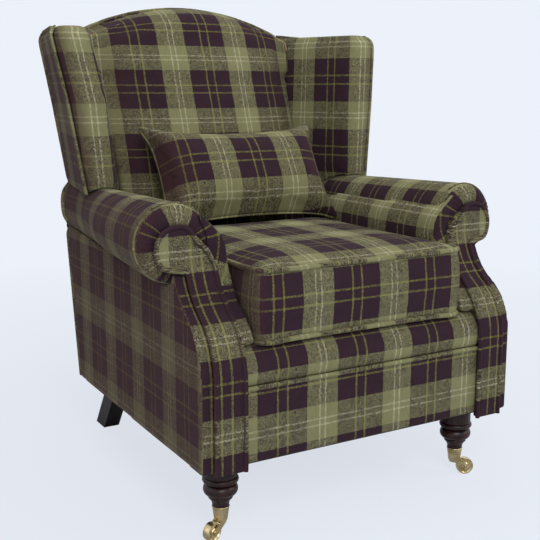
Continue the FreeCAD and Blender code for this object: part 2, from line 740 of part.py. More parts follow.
# Seat platform: firm foam in its black cloth between the arms, under the loose cushion.
keep(box("seat_platform", ("-arm_inner", "lip_back", SEAT_BOTTOM), ("arm_inner", "deck_back", "deck_top")))

# Front border: the padded panel on the front rail, rounded along its upper and lower edge.
front_border = new_body("front_border")
border = [
    ("rail_front", "border_bottom"),
    ("rail_front", "border_top"),
    ("border_front + border_rounding", "border_top", "border_rounding", 1),
    ("border_front", "border_top - border_rounding"),
    ("border_front", "border_bottom + border_rounding", "border_rounding", 1),
    ("border_front + border_rounding", "border_bottom"),
]
pad(front_border, "YZ_Plane", border, "-facing_inner", "facing_inner")
keep(front_border)

# Front lip: the rolled pad over the front rail, on which the seat cushion's front edge rests.
front_lip = new_body("front_lip")
lip = [
    ("border_front + lip_step", "border_top", "lip_radius", -1),
    ("border_front + lip_lean", "lip_top"),
    ("lip_back", "lip_top"),
    ("lip_back", SEAT_BOTTOM),
    ("rail_front", SEAT_BOTTOM),
    ("rail_front", "border_top"),
]
pad(front_lip, "YZ_Plane", lip, "-facing_inner", "facing_inner")
keep(front_lip)

# Arm facings: the padded boards on the arms' fronts. The inner edge runs up and turns over into
# the scroll, which curls round and comes back under to the straight outer edge.
BLEND = "cos(scroll_blend_angle * 1 deg)"
BLEND_RADIUS = f"((scroll_x - facing_inner - scroll_facing_radius * {BLEND}) / (1 - {BLEND}))"
FACING_TOP = "(scroll_z + 2 * roll_radius)"
facing_outline = [
    ("facing_inner", "facing_bottom"),
    (
        "facing_inner",
        f"scroll_z + (scroll_facing_radius - {BLEND_RADIUS}) * sin(scroll_blend_angle * 1 deg)",
        BLEND_RADIUS,
        -1,
    ),
    (
        f"scroll_x - scroll_facing_radius * {BLEND}",
        "scroll_z + scroll_facing_radius * sin(scroll_blend_angle * 1 deg)",
        "scroll_facing_radius",
        -1,
    ),
    ("scroll_x + scroll_facing_radius", "scroll_z", "scroll_facing_radius", -1),
    ("facing_outer", "scroll_z - sqrt(scroll_facing_radius^2 - (scroll_x - facing_outer)^2)"),
    ("facing_outer", "facing_bottom"),
]
before_facing = (
    [("facing_front - roll_radius", "facing_bottom")]
    + sweep("0", FACING_TOP)
    + [("facing_front - roll_radius", FACING_TOP)]
)
behind_facing = sweep("facing_thickness", FACING_TOP) + [
    ("facing_front + facing_setback + facing_thickness + roll_radius", FACING_TOP),
    ("facing_front + facing_setback + facing_thickness + roll_radius", "facing_bottom"),
]
facings = {}
for hand, side in HANDS:
    body = new_body(f"arm_facing_{hand}")
    pad(
        body,
        "XZ_Plane",
        facing_outline,
        "facing_front",
        "facing_front + facing_setback + facing_thickness",
        side,
    )
    trim(body, "YZ_Plane", before_facing)
    trim(body, "YZ_Plane", behind_facing)
    facings[hand] = keep(body)

# Arm rolls: long tapering cones over the arm rails, with a rounded front end round the scroll.
# They run from the scroll back into the outside back, where a slanting block trims them.
ROLL_FRONT = "(facing_front + facing_setback + band_step)"
ROLL_RUN = f"(roll_back_y - {ROLL_FRONT})"
ROLL_LENGTH = f"sqrt((scroll_x - roll_back_x)^2 + {ROLL_RUN}^2 + (roll_back_z - roll_z)^2)"
roll_outline = [
    ("0", "0"),
    ("scroll_facing_radius", "0", "roll_radius - scroll_facing_radius", 1),
    ("roll_radius", "roll_radius - scroll_facing_radius"),
    ("roll_back_radius", ROLL_LENGTH),
    ("0", ROLL_LENGTH),
]
rolls = {}
for hand, side in HANDS:
    cone = new_body("roll_cone")
    turn(cone, roll_outline)
    inward = f"{-side} * (scroll_x - roll_back_x)"
    place(
        cone,
        (f"{side} * scroll_x", ROLL_FRONT, "roll_z"),
        (-value(ROLL_RUN), value(inward), 0),
        f"acos((roll_back_z - roll_z) / {ROLL_LENGTH})",
    )
    bind(cone, "Placement.Rotation.Axis.x", f"-{ROLL_RUN}")
    bind(cone, "Placement.Rotation.Axis.y", inward)
    bind(cone, "Placement.Rotation.Angle", f"acos((roll_back_z - roll_z) / {ROLL_LENGTH})")
    behind = new_body("behind_the_back")
    slant = [
        (back_face("side_bottom", POST_BACK), "side_bottom"),
        ("roll_back_y + 2 * roll_radius", "side_bottom"),
        ("roll_back_y + 2 * roll_radius", FACING_TOP),
        (back_face(FACING_TOP, POST_BACK), FACING_TOP),
    ]
    pad(behind, "YZ_Plane", slant, "arm_inner", "scroll_x + 2 * roll_radius", side)
    tools = [facings[hand], front_posts[hand], arm_rails[hand], back_posts[hand], back_webbing, behind]
    rolls[hand] = keep(carve(f"arm_roll_{hand}", cone, tools))

# Inside arms: the padding between the seat and the roll. The front reaches forward round the
# inner edge of the facing, but stays behind the lip where the lip runs through to the facing.
inside_outline = [
    ("arm_inner", SEAT_BOTTOM),
    ("arm_inner + arm_pad_thickness", SEAT_BOTTOM),
    ("arm_inner + arm_pad_thickness", "arm_shoulder_top"),
    ("arm_meets_roll_x", "arm_meets_roll_z"),
    ("arm_shoulder_x", "arm_shoulder_top", "arm_shoulder_radius", 1),
    ("arm_inner", "arm_shoulder_z"),
]
before_band = (
    [("facing_front - roll_radius", "facing_bottom")]
    + sweep("band_step", FACING_TOP)
    + [("facing_front - roll_radius", FACING_TOP)]
)
before_lip = [
    ("facing_front - roll_radius", "facing_bottom"),
    ("lip_back", "facing_bottom"),
    ("lip_back", "lip_top"),
    ("facing_front - roll_radius", "lip_top"),
]
behind_pad = [
    (back_face("side_bottom", BACK_PAD_DEPTH), "side_bottom"),
    ("roll_back_y + 2 * roll_radius", "side_bottom"),
    ("roll_back_y + 2 * roll_radius", FACING_TOP),
    (back_face(FACING_TOP, BACK_PAD_DEPTH), FACING_TOP),
]
inside_arms = {}
for hand, side in HANDS:
    body = new_body("inside_arm_pad")
    pad(body, "XZ_Plane", inside_outline, "facing_front", "roll_back_y", side)
    trim(body, "YZ_Plane", before_band)
    trim(body, "YZ_Plane", before_lip)
    trim(body, "YZ_Plane", behind_pad)
    tools = [facings[hand], front_posts[hand], rolls[hand]]
    inside_arms[hand] = keep(carve(f"inside_arm_{hand}", body, tools))

# Outside arms: the tall side panels, narrower towards the back and rounded at the front.
panel = sweep("band_step", "side_top")
panel[0] = (panel[0][0], "side_bottom")
panel += [
    (back_face("side_top", POST_BACK), "side_top"),
    (back_face("side_bottom", POST_BACK), "side_bottom"),
]
for hand, side in HANDS:
    body = new_body("outside_arm_panel")
    pad(body, "YZ_Plane", panel, "facing_outer", "side_outer", side)
    wedge = [
        ("side_outer", "facing_front"),
        ("side_outer + roll_radius", "facing_front"),
        ("side_outer + roll_radius", back_face("side_top")),
        ("side_outer_back", back_face("side_top")),
    ]
    trim(body, "XY_Plane", wedge, side)
    tools = [facings[hand], arm_rails[hand], rolls[hand]]
    keep(carve(f"outside_arm_{hand}", body, tools))

# Wings: a plywood board, thick padding in front of and inside it, and a thin board with its cloth
# on the outside. All three follow the same four levels, and flare outwards as they rise.
LEVELS = (
    ("wing_low_z", "low", "0"),
    ("wing_mid_z", "mid", "0"),
    ("wing_high_z", "high", "0"),
    ("wing_top_z", "high", "wing_top_inset"),
)
wing_boards = {}
for hand, side in HANDS:
    board_levels, skin_levels, pad_levels = [], [], []
    for height, level, inset in LEVELS:
        outer = f"wing_outer_{level} - {inset}"
        outer_y = f"wing_outer_{level}_y + {inset}"
        back = f"wing_back_{level} - {inset}"
        back_y = back_face(height, POST_BACK)
        ply_x = f"{outer} - wing_skin - wing_ply_inset"
        ply_y = f"{outer_y} + wing_ply_setback"
        ply_back = back_face(height, f"{POST_BACK} + wing_ply_gap")
        board = [
            (POST_OUTER, ply_back),
            (f"{ply_x} - wing_ply", ply_y),
            (ply_x, ply_y),
            (f"{POST_OUTER} + wing_ply", ply_back),
        ]
        skin = [
            (f"{outer} - wing_skin", outer_y),
            (outer, outer_y),
            (back, back_y),
            (f"{back} - wing_skin", back_y),
        ]
        padding = [
            (f"seam_{level}", f"seam_{level}_y"),
            (f"wing_inner_{level}", f"wing_inner_{level}_y + {inset}", "wing_nose_radius", 1),
            (f"{outer} - wing_skin", outer_y),
            (f"{back} - wing_skin", back_y),
            (f"seam_{level}", back_y),
        ]
        board_levels.append((height, board))
        skin_levels.append((height, skin))
        pad_levels.append((height, padding))
    board = new_body("wing_ply")
    loft(board, "XY_Plane", board_levels[:3], True, side)
    wing_boards[hand] = keep(carve(f"wing_board_{hand}", board, [rolls[hand]]))
    padding = new_body("wing_padding")
    loft(padding, "XY_Plane", pad_levels, True, side)
    tools = [back_posts[hand], wing_boards[hand], rolls[hand], inside_arms[hand], back_webbing, top_rail]
    keep(carve(f"wing_pad_{hand}", padding, tools))
    skin = new_body("wing_skin")
    loft(skin, "XY_Plane", skin_levels, True, side)
    keep(carve(f"outside_wing_{hand}", skin, [rolls[hand]]))

# Inside back: full padding with an upright bulge and a rolled, arched top that turns over the
# top rail to the outside back. Its sides follow the seams of the wings.
stations = []
for step in (-2, -1, 0, 1, 2):
    part_way = f"({step} / 2)^2"
    crest = f"(back_crest_z - (back_crest_z - back_crest_side_z) * {part_way})"
    fall = f"back_edge_fall * {part_way}"
    section = [
        (f"back_front_low + {fall}", "back_pad_bottom", "back_swell_radius", -1),
        (f"back_front_high + {fall}", f"{crest} - back_roll_height", "back_roll_radius", -1),
        (back_face(f"{crest} - back_roll_end", POST_BACK), f"{crest} - back_roll_end"),
        (back_face(f"{crest} - back_tuck", POST_BACK), f"{crest} - back_tuck"),
        (back_face(f"{crest} - back_tuck", BACK_PAD_DEPTH), f"{crest} - back_tuck"),
        (back_face("back_pad_bottom", BACK_PAD_DEPTH), "back_pad_bottom"),
    ]
    stations.append((f"{step} * seam_high / 2", section))
back_padding = new_body("back_padding")
loft(back_padding, "YZ_Plane", stations)
beside_seam = [
    ("seam_low", "back_pad_bottom - back_tuck"),
    ("seam_high + back_tuck", "back_pad_bottom - back_tuck"),
    ("seam_high + back_tuck", "wing_high_z"),
    ("seam_high", "wing_high_z"),
    ("seam_mid", "wing_mid_z"),
    ("seam_low", "wing_low_z"),
]
for hand, side in HANDS:
    trim(back_padding, "XZ_Plane", beside_seam, side)
keep(carve("inside_back", back_padding, [top_rail]))

# Outside back: one leaning board in its cloth. Its sides bulge round the ends of the arm rolls and
# then follow the wings, and its top is arched.
right_edge = [
    ("back_half_width", "0"),
    ("back_half_width", leaning("roll_back_z - roll_back_radius"), "1.15 * roll_back_radius", 1),
    ("wing_back_low", leaning("roll_back_z + roll_back_radius")),
    ("wing_back_mid", leaning("wing_mid_z")),
    ("wing_back_high", leaning("wing_high_z")),
    ("wing_back_high - wing_top_inset", leaning("wing_top_z")),
    ("seam_high", leaning("back_crest_side_z")),
]
left_edge = []
for across, up, *arc in reverse(right_edge):
    left_edge.append((f"-({across})", up) + ((arc[0], -arc[1]) if arc else ()))
right_edge[-1] += (ARCH_RADIUS, 1)
outside_back = new_body("outside_back")
pad(outside_back, "XZ_Plane", right_edge + left_edge, f"-({POST_BACK})", "0")
tip_back(outside_back)
keep(outside_back)


def cushion_outline(inset, draw):
    """The seat cushion's outline, drawn in between its rounded corners."""
    right = f"cushion_half_width - ({inset})"
    front = f"cushion_front + ({inset})"
    back = f"cushion_back - ({inset})"
    across = f"{right} - cushion_corner"
    along = f"({back} - ({front})) / 2 - cushion_corner"
    return [
        (f"-({across})", front, bow(across, draw), -1),
        (across, front, "cushion_corner", 1),
        (right, f"{front} + cushion_corner", bow(along, draw), -1),
        (right, f"{back} - cushion_corner", "cushion_corner", 1),
        (across, back, bow(across, draw), -1),
        (f"-({across})", back, "cushion_corner", 1),
        (f"-({right})", f"{back} - cushion_corner", bow(along, draw), -1),
        (f"-({right})", f"{front} + cushion_corner", "cushion_corner", 1),
    ]


# Seat cushion: loose and box shaped. Its sides swell between the piped edges, the piped edges
# draw in between the corners, and its top is crowned.
CUSHION_BOTTOM = "(deck_top + cushion_gap)"
PIPED_EDGE = f"({CUSHION_BOTTOM} + cushion_thickness)"
seat_cushion = new_body("seat_cushion")
loft(
    seat_cushion,
    "XY_Plane",
    [
        (CUSHION_BOTTOM, cushion_outline("0", "cushion_draw")),
        (f"{CUSHION_BOTTOM} + cushion_thickness / 2", cushion_outline("-cushion_swell", "cushion_draw / 4")),
        (PIPED_EDGE, cushion_outline("0", "cushion_draw")),
    ],
)
loft(
    seat_cushion,
    "XY_Plane",
    [
        (PIPED_EDGE, cushion_outline("0", "cushion_draw")),
        (f"{PIPED_EDGE} + cushion_shoulder", cushion_outline("cushion_shoulder_inset", "cushion_draw")),
        (f"{PIPED_EDGE} + cushion_crown", cushion_outline("cushion_crown_inset", "cushion_draw")),
    ],
)
keep(seat_cushion)


def scatter_outline(inset, rise, way):
    """The scatter cushion's contour, its four sides bowed inwards (-1) or outwards (1) by a rise."""
    across = f"scatter_width / 2 - ({inset})"
    up = f"scatter_height / 2 - ({inset})"
    return [
        (f"-({across})", f"-({up})", bow(across, rise), way),
        (across, f"-({up})", bow(up, rise), way),
        (across, up, bow(across, rise), way),
        (f"-({across})", up, bow(up, rise), way),
    ]


# Scatter cushion: a wide pillow with drawn-in sides and four pointed ears, leaning on the back.
scatter_cushion = new_body("scatter_cushion")
SCATTER_EDGE = scatter_outline("0", "scatter_draw", -1)
pad(scatter_cushion, "XZ_Plane", SCATTER_EDGE, "-scatter_edge / 2", "scatter_edge / 2")
for way in ("", "-"):
    loft(
        scatter_cushion,
        "XZ_Plane",
        [
            (f"{way}scatter_edge / 2", SCATTER_EDGE),
            (
                f"{way}scatter_shoulder",
                scatter_outline("scatter_shoulder_inset", "scatter_shoulder_draw", -1),
            ),
            (
                f"{way}scatter_thickness / 2",
                scatter_outline("scatter_crown_inset", "scatter_crown_bow", 1),
            ),
        ],
    )
place(scatter_cushion, ("scatter_x", "scatter_y", "scatter_z"), (-1, 0, 0), "scatter_lean")
keep(scatter_cushion)


def bead(neck, radius, middle, half):
    """A turned bead: two corners of the half outline with an arc between them."""
    rise = f"({radius} - {neck})"
    return [(neck, f"{middle} - {half}", bow(half, rise), 1), (neck, f"{middle} + {half}")]


# Front legs, turned in dark mahogany: a tapered tenon in the brass cup, a hollow, a small ring,
# a round bulb, a collar, and a plain block up to the base.
CUP_SLOPE = "(cup_top_radius - cup_bottom_radius) / (cup_top - cup_bottom)"
KINGPIN_TOP = "cup_bottom + cup_floor + kingpin_head"


def cup_inside(height):
    """Inner radius of the brass cup at a height."""
    return f"cup_bottom_radius + ({height} - cup_bottom) * {CUP_SLOPE} - cup_wall"


leg_outline = (
    [
        ("0", f"{KINGPIN_TOP} + tenon_gap"),
        (f"{cup_inside(f'({KINGPIN_TOP} + tenon_gap)')} - running_clearance", f"{KINGPIN_TOP} + tenon_gap"),
        (f"{cup_inside('cup_top')} - running_clearance", "cup_top"),
        ("leg_ankle_radius", "cup_top", "leg_cove_radius", -1),
    ]
    + bead("leg_ring_neck", "leg_ring_radius", "leg_ring_z", "leg_ring_half")
    + bead("leg_bulb_neck", "leg_bulb_radius", "leg_bulb_z", "leg_bulb_half")
    + bead("leg_collar_neck", "leg_collar_radius", "leg_collar_z", "leg_collar_half")
    + [
        ("leg_block_radius", "leg_collar_z + leg_collar_half"),
        ("leg_block_radius", "base_bottom"),
        ("0", "base_bottom"),
    ]
)
front_legs = {}
for hand, side in HANDS:
    body = new_body("turned_leg")
    turn(body, leg_outline)
    place(body, (f"{side} * leg_x", "leg_y", "0"), (0, 0, 1), "0")
    front_legs[hand] = keep(carve(f"front_leg_{hand}", body, [leg_bolts[hand]]))

# Back legs: square and raked towards the back.
back_legs = {}
for hand, side in HANDS:
    body = new_body(f"back_leg_{hand}")
    rake = [
        ("back_leg_top_front", "base_bottom"),
        ("back_leg_foot_front", "0"),
        ("back_leg_foot_front + back_leg_foot_depth", "0"),
        ("back_leg_top_front + back_leg_top_depth", "base_bottom"),
    ]
    pad(body, "YZ_Plane", rake, "back_leg_inner", "back_leg_inner + back_leg_width", side)
    back_legs[hand] = keep(body)

# Dust cover: black lining tacked under the base, cut out round the legs and their bolts.
lining = box(
    "lining",
    ("-side_rail_outer", "rail_front", "base_bottom - dust_cover"),
    ("side_rail_outer", back_face("base_bottom", POST_BACK), "base_bottom"),
)
keep(carve("dust_cover", lining, [*front_legs.values(), *leg_bolts.values(), *back_legs.values()]))

# Castors: a brass cup on the leg, a kingpin riveted through its floor, a fork that swivels on the
# kingpin under the cup, and a brass wheel on an axle between the fork's cheeks.
CROWN_TOP = "(cup_bottom - fork_play)"
CROWN_BOTTOM = f"({CROWN_TOP} - fork_crown)"
CHEEK_INNER = "(wheel_width / 2 + wheel_side_play)"
CHEEK_OUTER = f"({CHEEK_INNER} + cheek_thickness)"
HEAD_TOP = f"({CROWN_BOTTOM} - fork_play / 2)"
cup_outline = [
    ("kingpin_radius + running_clearance", "cup_bottom"),
    ("cup_bottom_radius", "cup_bottom"),
    ("cup_top_radius", "cup_top - 2 * cup_rim", "1.1 * cup_rim", 1),
    ("cup_top_radius", "cup_top"),
    (cup_inside("cup_top"), "cup_top"),
    (cup_inside("(cup_bottom + cup_floor)"), "cup_bottom + cup_floor"),
    ("kingpin_radius + running_clearance", "cup_bottom + cup_floor"),
]
kingpin_outline = [
    ("0", f"{HEAD_TOP} - kingpin_head"),
    ("kingpin_head_radius", f"{HEAD_TOP} - kingpin_head"),
    ("kingpin_head_radius", HEAD_TOP),
    ("kingpin_radius", HEAD_TOP),
    ("kingpin_radius", "cup_bottom + cup_floor"),
    ("kingpin_head_radius", "cup_bottom + cup_floor"),
    ("kingpin_head_radius", KINGPIN_TOP),
    ("0", KINGPIN_TOP),
]
crown = [
    ("fork_crown_reach", f"-{CHEEK_OUTER}"),
    ("fork_crown_reach", CHEEK_OUTER),
    ("0", CHEEK_OUTER, CHEEK_OUTER, 1),
    (f"-{CHEEK_OUTER}", "0", CHEEK_OUTER, 1),
    ("0", f"-{CHEEK_OUTER}"),
]
cheek = [
    ("-fork_horn_back", CROWN_BOTTOM),
    (
        "castor_trail - cheek_end_radius * cos(60 deg)",
        "wheel_radius - cheek_end_radius * sin(60 deg)",
        "cheek_end_radius",
        1,
    ),
    ("castor_trail + cheek_end_radius * cos(30 deg)", "wheel_radius + cheek_end_radius * sin(30 deg)"),
    ("fork_horn_top", CROWN_TOP),
    ("-fork_horn_back", CROWN_TOP),
]
axle_outline = [
    ("0", f"-({CHEEK_OUTER} + axle_head)"),
    ("axle_head_radius", f"-({CHEEK_OUTER} + axle_head)"),
    ("axle_head_radius", f"-{CHEEK_OUTER}"),
    ("axle_radius", f"-{CHEEK_OUTER}"),
    ("axle_radius", CHEEK_OUTER),
    ("axle_head_radius", CHEEK_OUTER),
    ("axle_head_radius", f"{CHEEK_OUTER} + axle_head"),
    ("0", f"{CHEEK_OUTER} + axle_head"),
]
half_wheel = [
    ("axle_radius + running_clearance", "wheel_width / 2"),
    ("wheel_hub_radius", "wheel_width / 2"),
    ("wheel_hub_radius + wheel_dish", "wheel_width / 2 - wheel_dish"),
    ("wheel_radius - wheel_crown - wheel_rim - wheel_dish", "wheel_width / 2 - wheel_dish"),
    ("wheel_radius - wheel_crown - wheel_rim", "wheel_width / 2"),
    ("wheel_radius - wheel_crown", "wheel_width / 2"),
]
wheel_outline = [(radius, f"-({along})") for radius, along in half_wheel] + half_wheel[::-1]
wheel_outline[len(half_wheel) - 1] += (bow("wheel_width / 2", "wheel_crown"), 1)
for hand, side in HANDS:
    kingpin = (f"{side} * leg_x", "leg_y", "0")
    cup = new_body(f"castor_cup_{hand}")
    turn(cup, cup_outline)
    place(cup, kingpin, (0, 0, 1), "0")
    keep(cup)
    pin = new_body(f"castor_kingpin_{hand}")
    turn(pin, kingpin_outline)
    place(pin, kingpin, (0, 0, 1), "0")
    keep(pin)
    yaw = "360 - castor_yaw" if side == 1 else "180 + castor_yaw"
    fork = new_body(f"castor_fork_{hand}")
    pad(fork, "XY_Plane", crown, CROWN_BOTTOM, CROWN_TOP)
    pad(fork, "XZ_Plane", cheek, CHEEK_INNER, CHEEK_OUTER)
    pad(fork, "XZ_Plane", cheek, f"-{CHEEK_OUTER}", f"-{CHEEK_INNER}")
    trim(fork, "XY_Plane", circle("0", "0", "(kingpin_radius + running_clearance)"))
    trim(fork, "XZ_Plane", circle("castor_trail", "wheel_radius", "axle_radius"))
    place(fork, kingpin, (0, 0, 1), yaw)
    keep(fork)
    hub = (
        f"{side} * (leg_x + castor_trail * cos(castor_yaw * 1 deg))",
        "leg_y - castor_trail * sin(castor_yaw * 1 deg)",
        "wheel_radius",
    )
    axle = new_body(f"castor_axle_{hand}")
    turn(axle, axle_outline, "XY_Plane")
    place(axle, hub, (0, 0, 1), yaw)
    keep(axle)
    wheel = new_body(f"castor_wheel_{hand}")
    turn(wheel, wheel_outline, "XY_Plane")
    place(wheel, hub, (0, 0, 1), yaw)
    keep(wheel)

doc.recompute()
for item in doc.Objects:
    if {"Invalid", "Error"} & set(item.State):
        raise RuntimeError(f"{item.Name} ({item.Label}) could not be rebuilt: {item.State}")
os.makedirs("parts", exist_ok=True)
for piece in PIECES:
    shape = piece.Shape
    if shape.isNull() or not shape.isValid() or not shape.Solids or shape.Volume <= 0:
        raise RuntimeError(f"{piece.Label} has no sound solid")
    shape.exportStep(f"parts/{piece.Label}.step")
print(f"{len(PIECES)} pieces written")
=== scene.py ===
import bpy
import math
import numpy as np
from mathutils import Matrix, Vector
from mathutils.bvhtree import BVHTree


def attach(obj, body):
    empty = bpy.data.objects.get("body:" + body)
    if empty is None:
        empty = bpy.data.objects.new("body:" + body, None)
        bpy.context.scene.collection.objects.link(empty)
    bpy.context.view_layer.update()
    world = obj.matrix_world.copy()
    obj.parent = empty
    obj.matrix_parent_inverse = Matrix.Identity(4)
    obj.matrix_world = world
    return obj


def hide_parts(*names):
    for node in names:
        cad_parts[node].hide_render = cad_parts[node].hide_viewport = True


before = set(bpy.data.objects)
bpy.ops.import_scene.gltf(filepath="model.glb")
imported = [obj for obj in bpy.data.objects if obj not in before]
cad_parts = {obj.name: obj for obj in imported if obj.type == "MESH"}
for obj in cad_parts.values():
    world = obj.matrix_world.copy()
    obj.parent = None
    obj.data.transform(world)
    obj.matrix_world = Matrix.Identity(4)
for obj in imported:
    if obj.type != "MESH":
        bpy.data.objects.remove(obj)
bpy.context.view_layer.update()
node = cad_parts


# The room it is shown in.
# A pale sweep of paper under and behind the chair, lit by large soft boxes, and the camera
# a little above the seat, off the chair's left front corner.

def linear(code):
    """A colour as it is written, sRGB hex, in the shader's own linear numbers."""
    parts = [int(code[i:i + 2], 16) / 255 for i in (1, 3, 5)]
    return [c / 12.92 if c <= 0.04045 else ((c + 0.055) / 1.055) ** 2.4 for c in parts] + [1.0]


def put(tree, kind, settings=None, **links):
    """One node in a material, with its settings, and its sockets set or linked by name or number."""
    made = tree.nodes.new("ShaderNode" + kind)
    for key, value in (settings or {}).items():
        setattr(made, key, value)
    for key, value in links.items():
        numbered = key[0] == "i" and key[1:].isdigit()
        socket = made.inputs[int(key[1:]) if numbered else key.replace("_", " ")]
        if isinstance(value, bpy.types.NodeSocket):
            tree.links.new(value, socket)
        else:
            socket.default_value = value
    return made


def new_finish(name):
    """An empty material, and its node tree."""
    finish = bpy.data.materials.new(name)
    finish.use_nodes = True
    finish.node_tree.nodes.clear()
    return finish, finish.node_tree


def close_finish(tree, **sockets):
    """The surface shader with these sockets, joined to the output."""
    shader = put(tree, "BsdfPrincipled", None, **sockets)
    put(tree, "OutputMaterial", None, Surface=shader.outputs[0])


def only(piece):
    """Nothing but this piece is selected, and it is active."""
    bpy.ops.object.select_all(action="DESELECT")
    piece.select_set(True)
    bpy.context.view_layer.objects.active = piece


paper_colour = linear("#ECF1FA")
paper, tree = new_finish("pale_paper")
grain = put(tree, "TexNoise", None, Scale=40.0)
tint = put(tree, "ValToRGB", None, Fac=grain.outputs[0])
tint.color_ramp.elements[0].color = linear("#E9EEF8")
tint.color_ramp.elements[1].color = paper_colour
lit = put(tree, "BsdfDiffuse", None, Color=tint.outputs[0], Roughness=0.5)
even = put(tree, "Emission", None, Color=paper_colour, Strength=1.0)
away = put(tree, "VectorMath", {"operation": "LENGTH"}, i0=put(tree, "TexCoord").outputs["Object"])
fading = put(tree, "MapRange", None, Value=away.outputs["Value"], From_Min=0.8, From_Max=2.6,
             To_Min=0.80, To_Max=1.0)
seen = put(tree, "LightPath")
share = put(tree, "Math", {"operation": "MULTIPLY"}, i0=fading.outputs[0], i1=seen.outputs["Is Camera Ray"])
paper_skin = put(tree, "MixShader", None, i0=share.outputs[0], i1=lit.outputs[0], i2=even.outputs[0])
put(tree, "OutputMaterial", None, Surface=paper_skin.outputs[0])
bpy.ops.object.select_all(action="DESELECT")
bpy.ops.mesh.primitive_plane_add(size=1, location=(0, 0, 0))
floor = bpy.context.object
floor.name = "floor_paper"
bpy.ops.object.mode_set(mode="EDIT")
bpy.ops.transform.resize(value=(24, 24, 1))
bpy.ops.object.mode_set(mode="OBJECT")
floor.data.materials.append(paper)

world = bpy.data.worlds.new("soft_room")
bpy.context.scene.world = world
world.use_nodes = True
tree = world.node_tree
tree.nodes.clear()
seen = put(tree, "LightPath")
shown = put(tree, "Math", {"operation": "MAXIMUM"}, i0=seen.outputs["Is Camera Ray"],
            i1=seen.outputs["Is Glossy Ray"])
room = put(tree, "Background", None, Color=linear("#FFFFFF"), Strength=0.30)
back_light = put(tree, "Background", None, Color=paper_colour, Strength=1.0)
either = put(tree, "MixShader", None, i0=shown.outputs[0], i1=room.outputs[0], i2=back_light.outputs[0])
put(tree, "OutputWorld", None, Surface=either.outputs[0])

for name, place, look, size, watts, colour in (
        ("soft_box_front", (-1.1, -3.0, 2.4), (0.0, 0.0, 0.5), 1.6, 46, "#FFFFFF"),
        ("soft_box_right", (2.4, -1.8, 2.2), (0.0, 0.0, 0.5), 1.6, 22, "#FFFFFF"),
        ("soft_box_left", (-2.8, 0.2, 1.2), (0.0, 0.0, 0.4), 1.4, 3, "#FFDCCB"),
        ("soft_box_above", (0.2, 0.3, 3.0), (0.0, 0.0, 0.5), 1.8, 18, "#FFFFFF")):
    lamp = bpy.data.lights.new(name, "AREA")
    lamp.size = size
    lamp.energy = watts
    lamp.color = linear(colour)[:3]
    holder = bpy.data.objects.new(name, lamp)
    bpy.context.collection.objects.link(holder)
    holder.location = place
    holder.rotation_euler = (Vector(look) - Vector(place)).to_track_quat("-Z", "Y").to_euler()

lens = bpy.data.cameras.new("camera")
lens.lens = 62.0
lens.sensor_width = 36.0
lens.sensor_fit = "HORIZONTAL"
lens.shift_y = -0.0037
camera = bpy.data.objects.new("camera", lens)
bpy.context.collection.objects.link(camera)
camera.location = (-1.017, -1.765, 0.816)
camera.rotation_euler = (math.radians(79.15), 0.0, math.radians(-30.37))
bpy.context.scene.camera = camera
bpy.context.scene.view_settings.view_transform = "Standard"


# The inner frame.
# Planed beech rails, posts and blocks, glued and screwed, and plywood wing boards cut by saw.
# All of it is hidden by the cloth once the chair is covered.

def set_ends(ramp, *ends):
    """A colour ramp's two ends: where each stands and its colour."""
    for element, (place, colour) in zip(ramp.color_ramp.elements, ends):
        element.position = place
        element.color = linear(colour)


def wood(name, light, dark, along, rough, ring, coat=0.0):
    """Timber: growth rings drawn out along the grain, with pores and a slow change of tone."""
    finish, tree = new_finish(name)
    place = put(tree, "TexCoord").outputs["Object"]
    grain_way = put(tree, "Mapping", None, Vector=place, Scale=along)
    rings = put(tree, "TexNoise", None, Vector=grain_way.outputs[0], Scale=ring, Detail=5.0, Distortion=0.7)
    pores = put(tree, "TexNoise", None, Vector=grain_way.outputs[0], Scale=ring * 7, Detail=3.0)
    tone = put(tree, "ValToRGB", None, Fac=rings.outputs[0])
    set_ends(tone, (0.36, dark), (0.66, light))
    speck = put(tree, "MapRange", None, Value=pores.outputs[0], From_Min=0.3, From_Max=0.7,
                To_Min=0.82, To_Max=1.06)
    colour = put(tree, "VectorMath", {"operation": "SCALE"}, i0=tone.outputs[0], Scale=speck.outputs[0])
    dull = put(tree, "MapRange", None, Value=pores.outputs[0], To_Min=rough - 0.08, To_Max=rough + 0.1)
    relief = put(tree, "Bump", None, Height=pores.outputs[0], Strength=0.25, Distance=0.0004)
    close_finish(tree, Base_Color=colour.outputs[0], Roughness=dull.outputs[0], Normal=relief.outputs[0],
                 Coat_Weight=coat, Coat_Roughness=0.22, Specular_IOR_Level=0.3)
    return finish


def finish_nodes(finish, *names):
    """Gives CAD pieces that stay as they are this finish."""
    for name in names:
        for place in range(len(node[name].material_slots)):
            node[name].material_slots[place].material = finish


def both(*names):
    """The names of the left and the right piece of each kind."""
    return [f"{name}_{side}" for name in names for side in ("left", "right")]


beech_along_x = wood("beech_grain_across", "#D8B88C", "#B98F60", (1.5, 14, 14), 0.55, 9.0)
beech_along_y = wood("beech_grain_deep", "#D8B88C", "#B98F60", (14, 1.5, 14), 0.55, 9.0)
beech_upright = wood("beech_grain_upright", "#D8B88C", "#B98F60", (14, 14, 1.5), 0.55, 9.0)
finish_nodes(beech_along_x, "front_rail", "back_rail", "top_rail", "corner_blocks")
finish_nodes(beech_along_y, *both("side_rail", "arm_rail"))
finish_nodes(beech_upright, *both("front_post", "back_post"))
birch_ply = wood("birch_plywood", "#DDBF93", "#B9905F", (2, 9, 60), 0.6, 6.0)
finish_nodes(birch_ply, *both("wing_board"))


# Webbing, linings and bolts.
# Jute webbing with red lines, black cotton under the seat, a calico platform, and zinc plated
# bolts in the corner blocks.

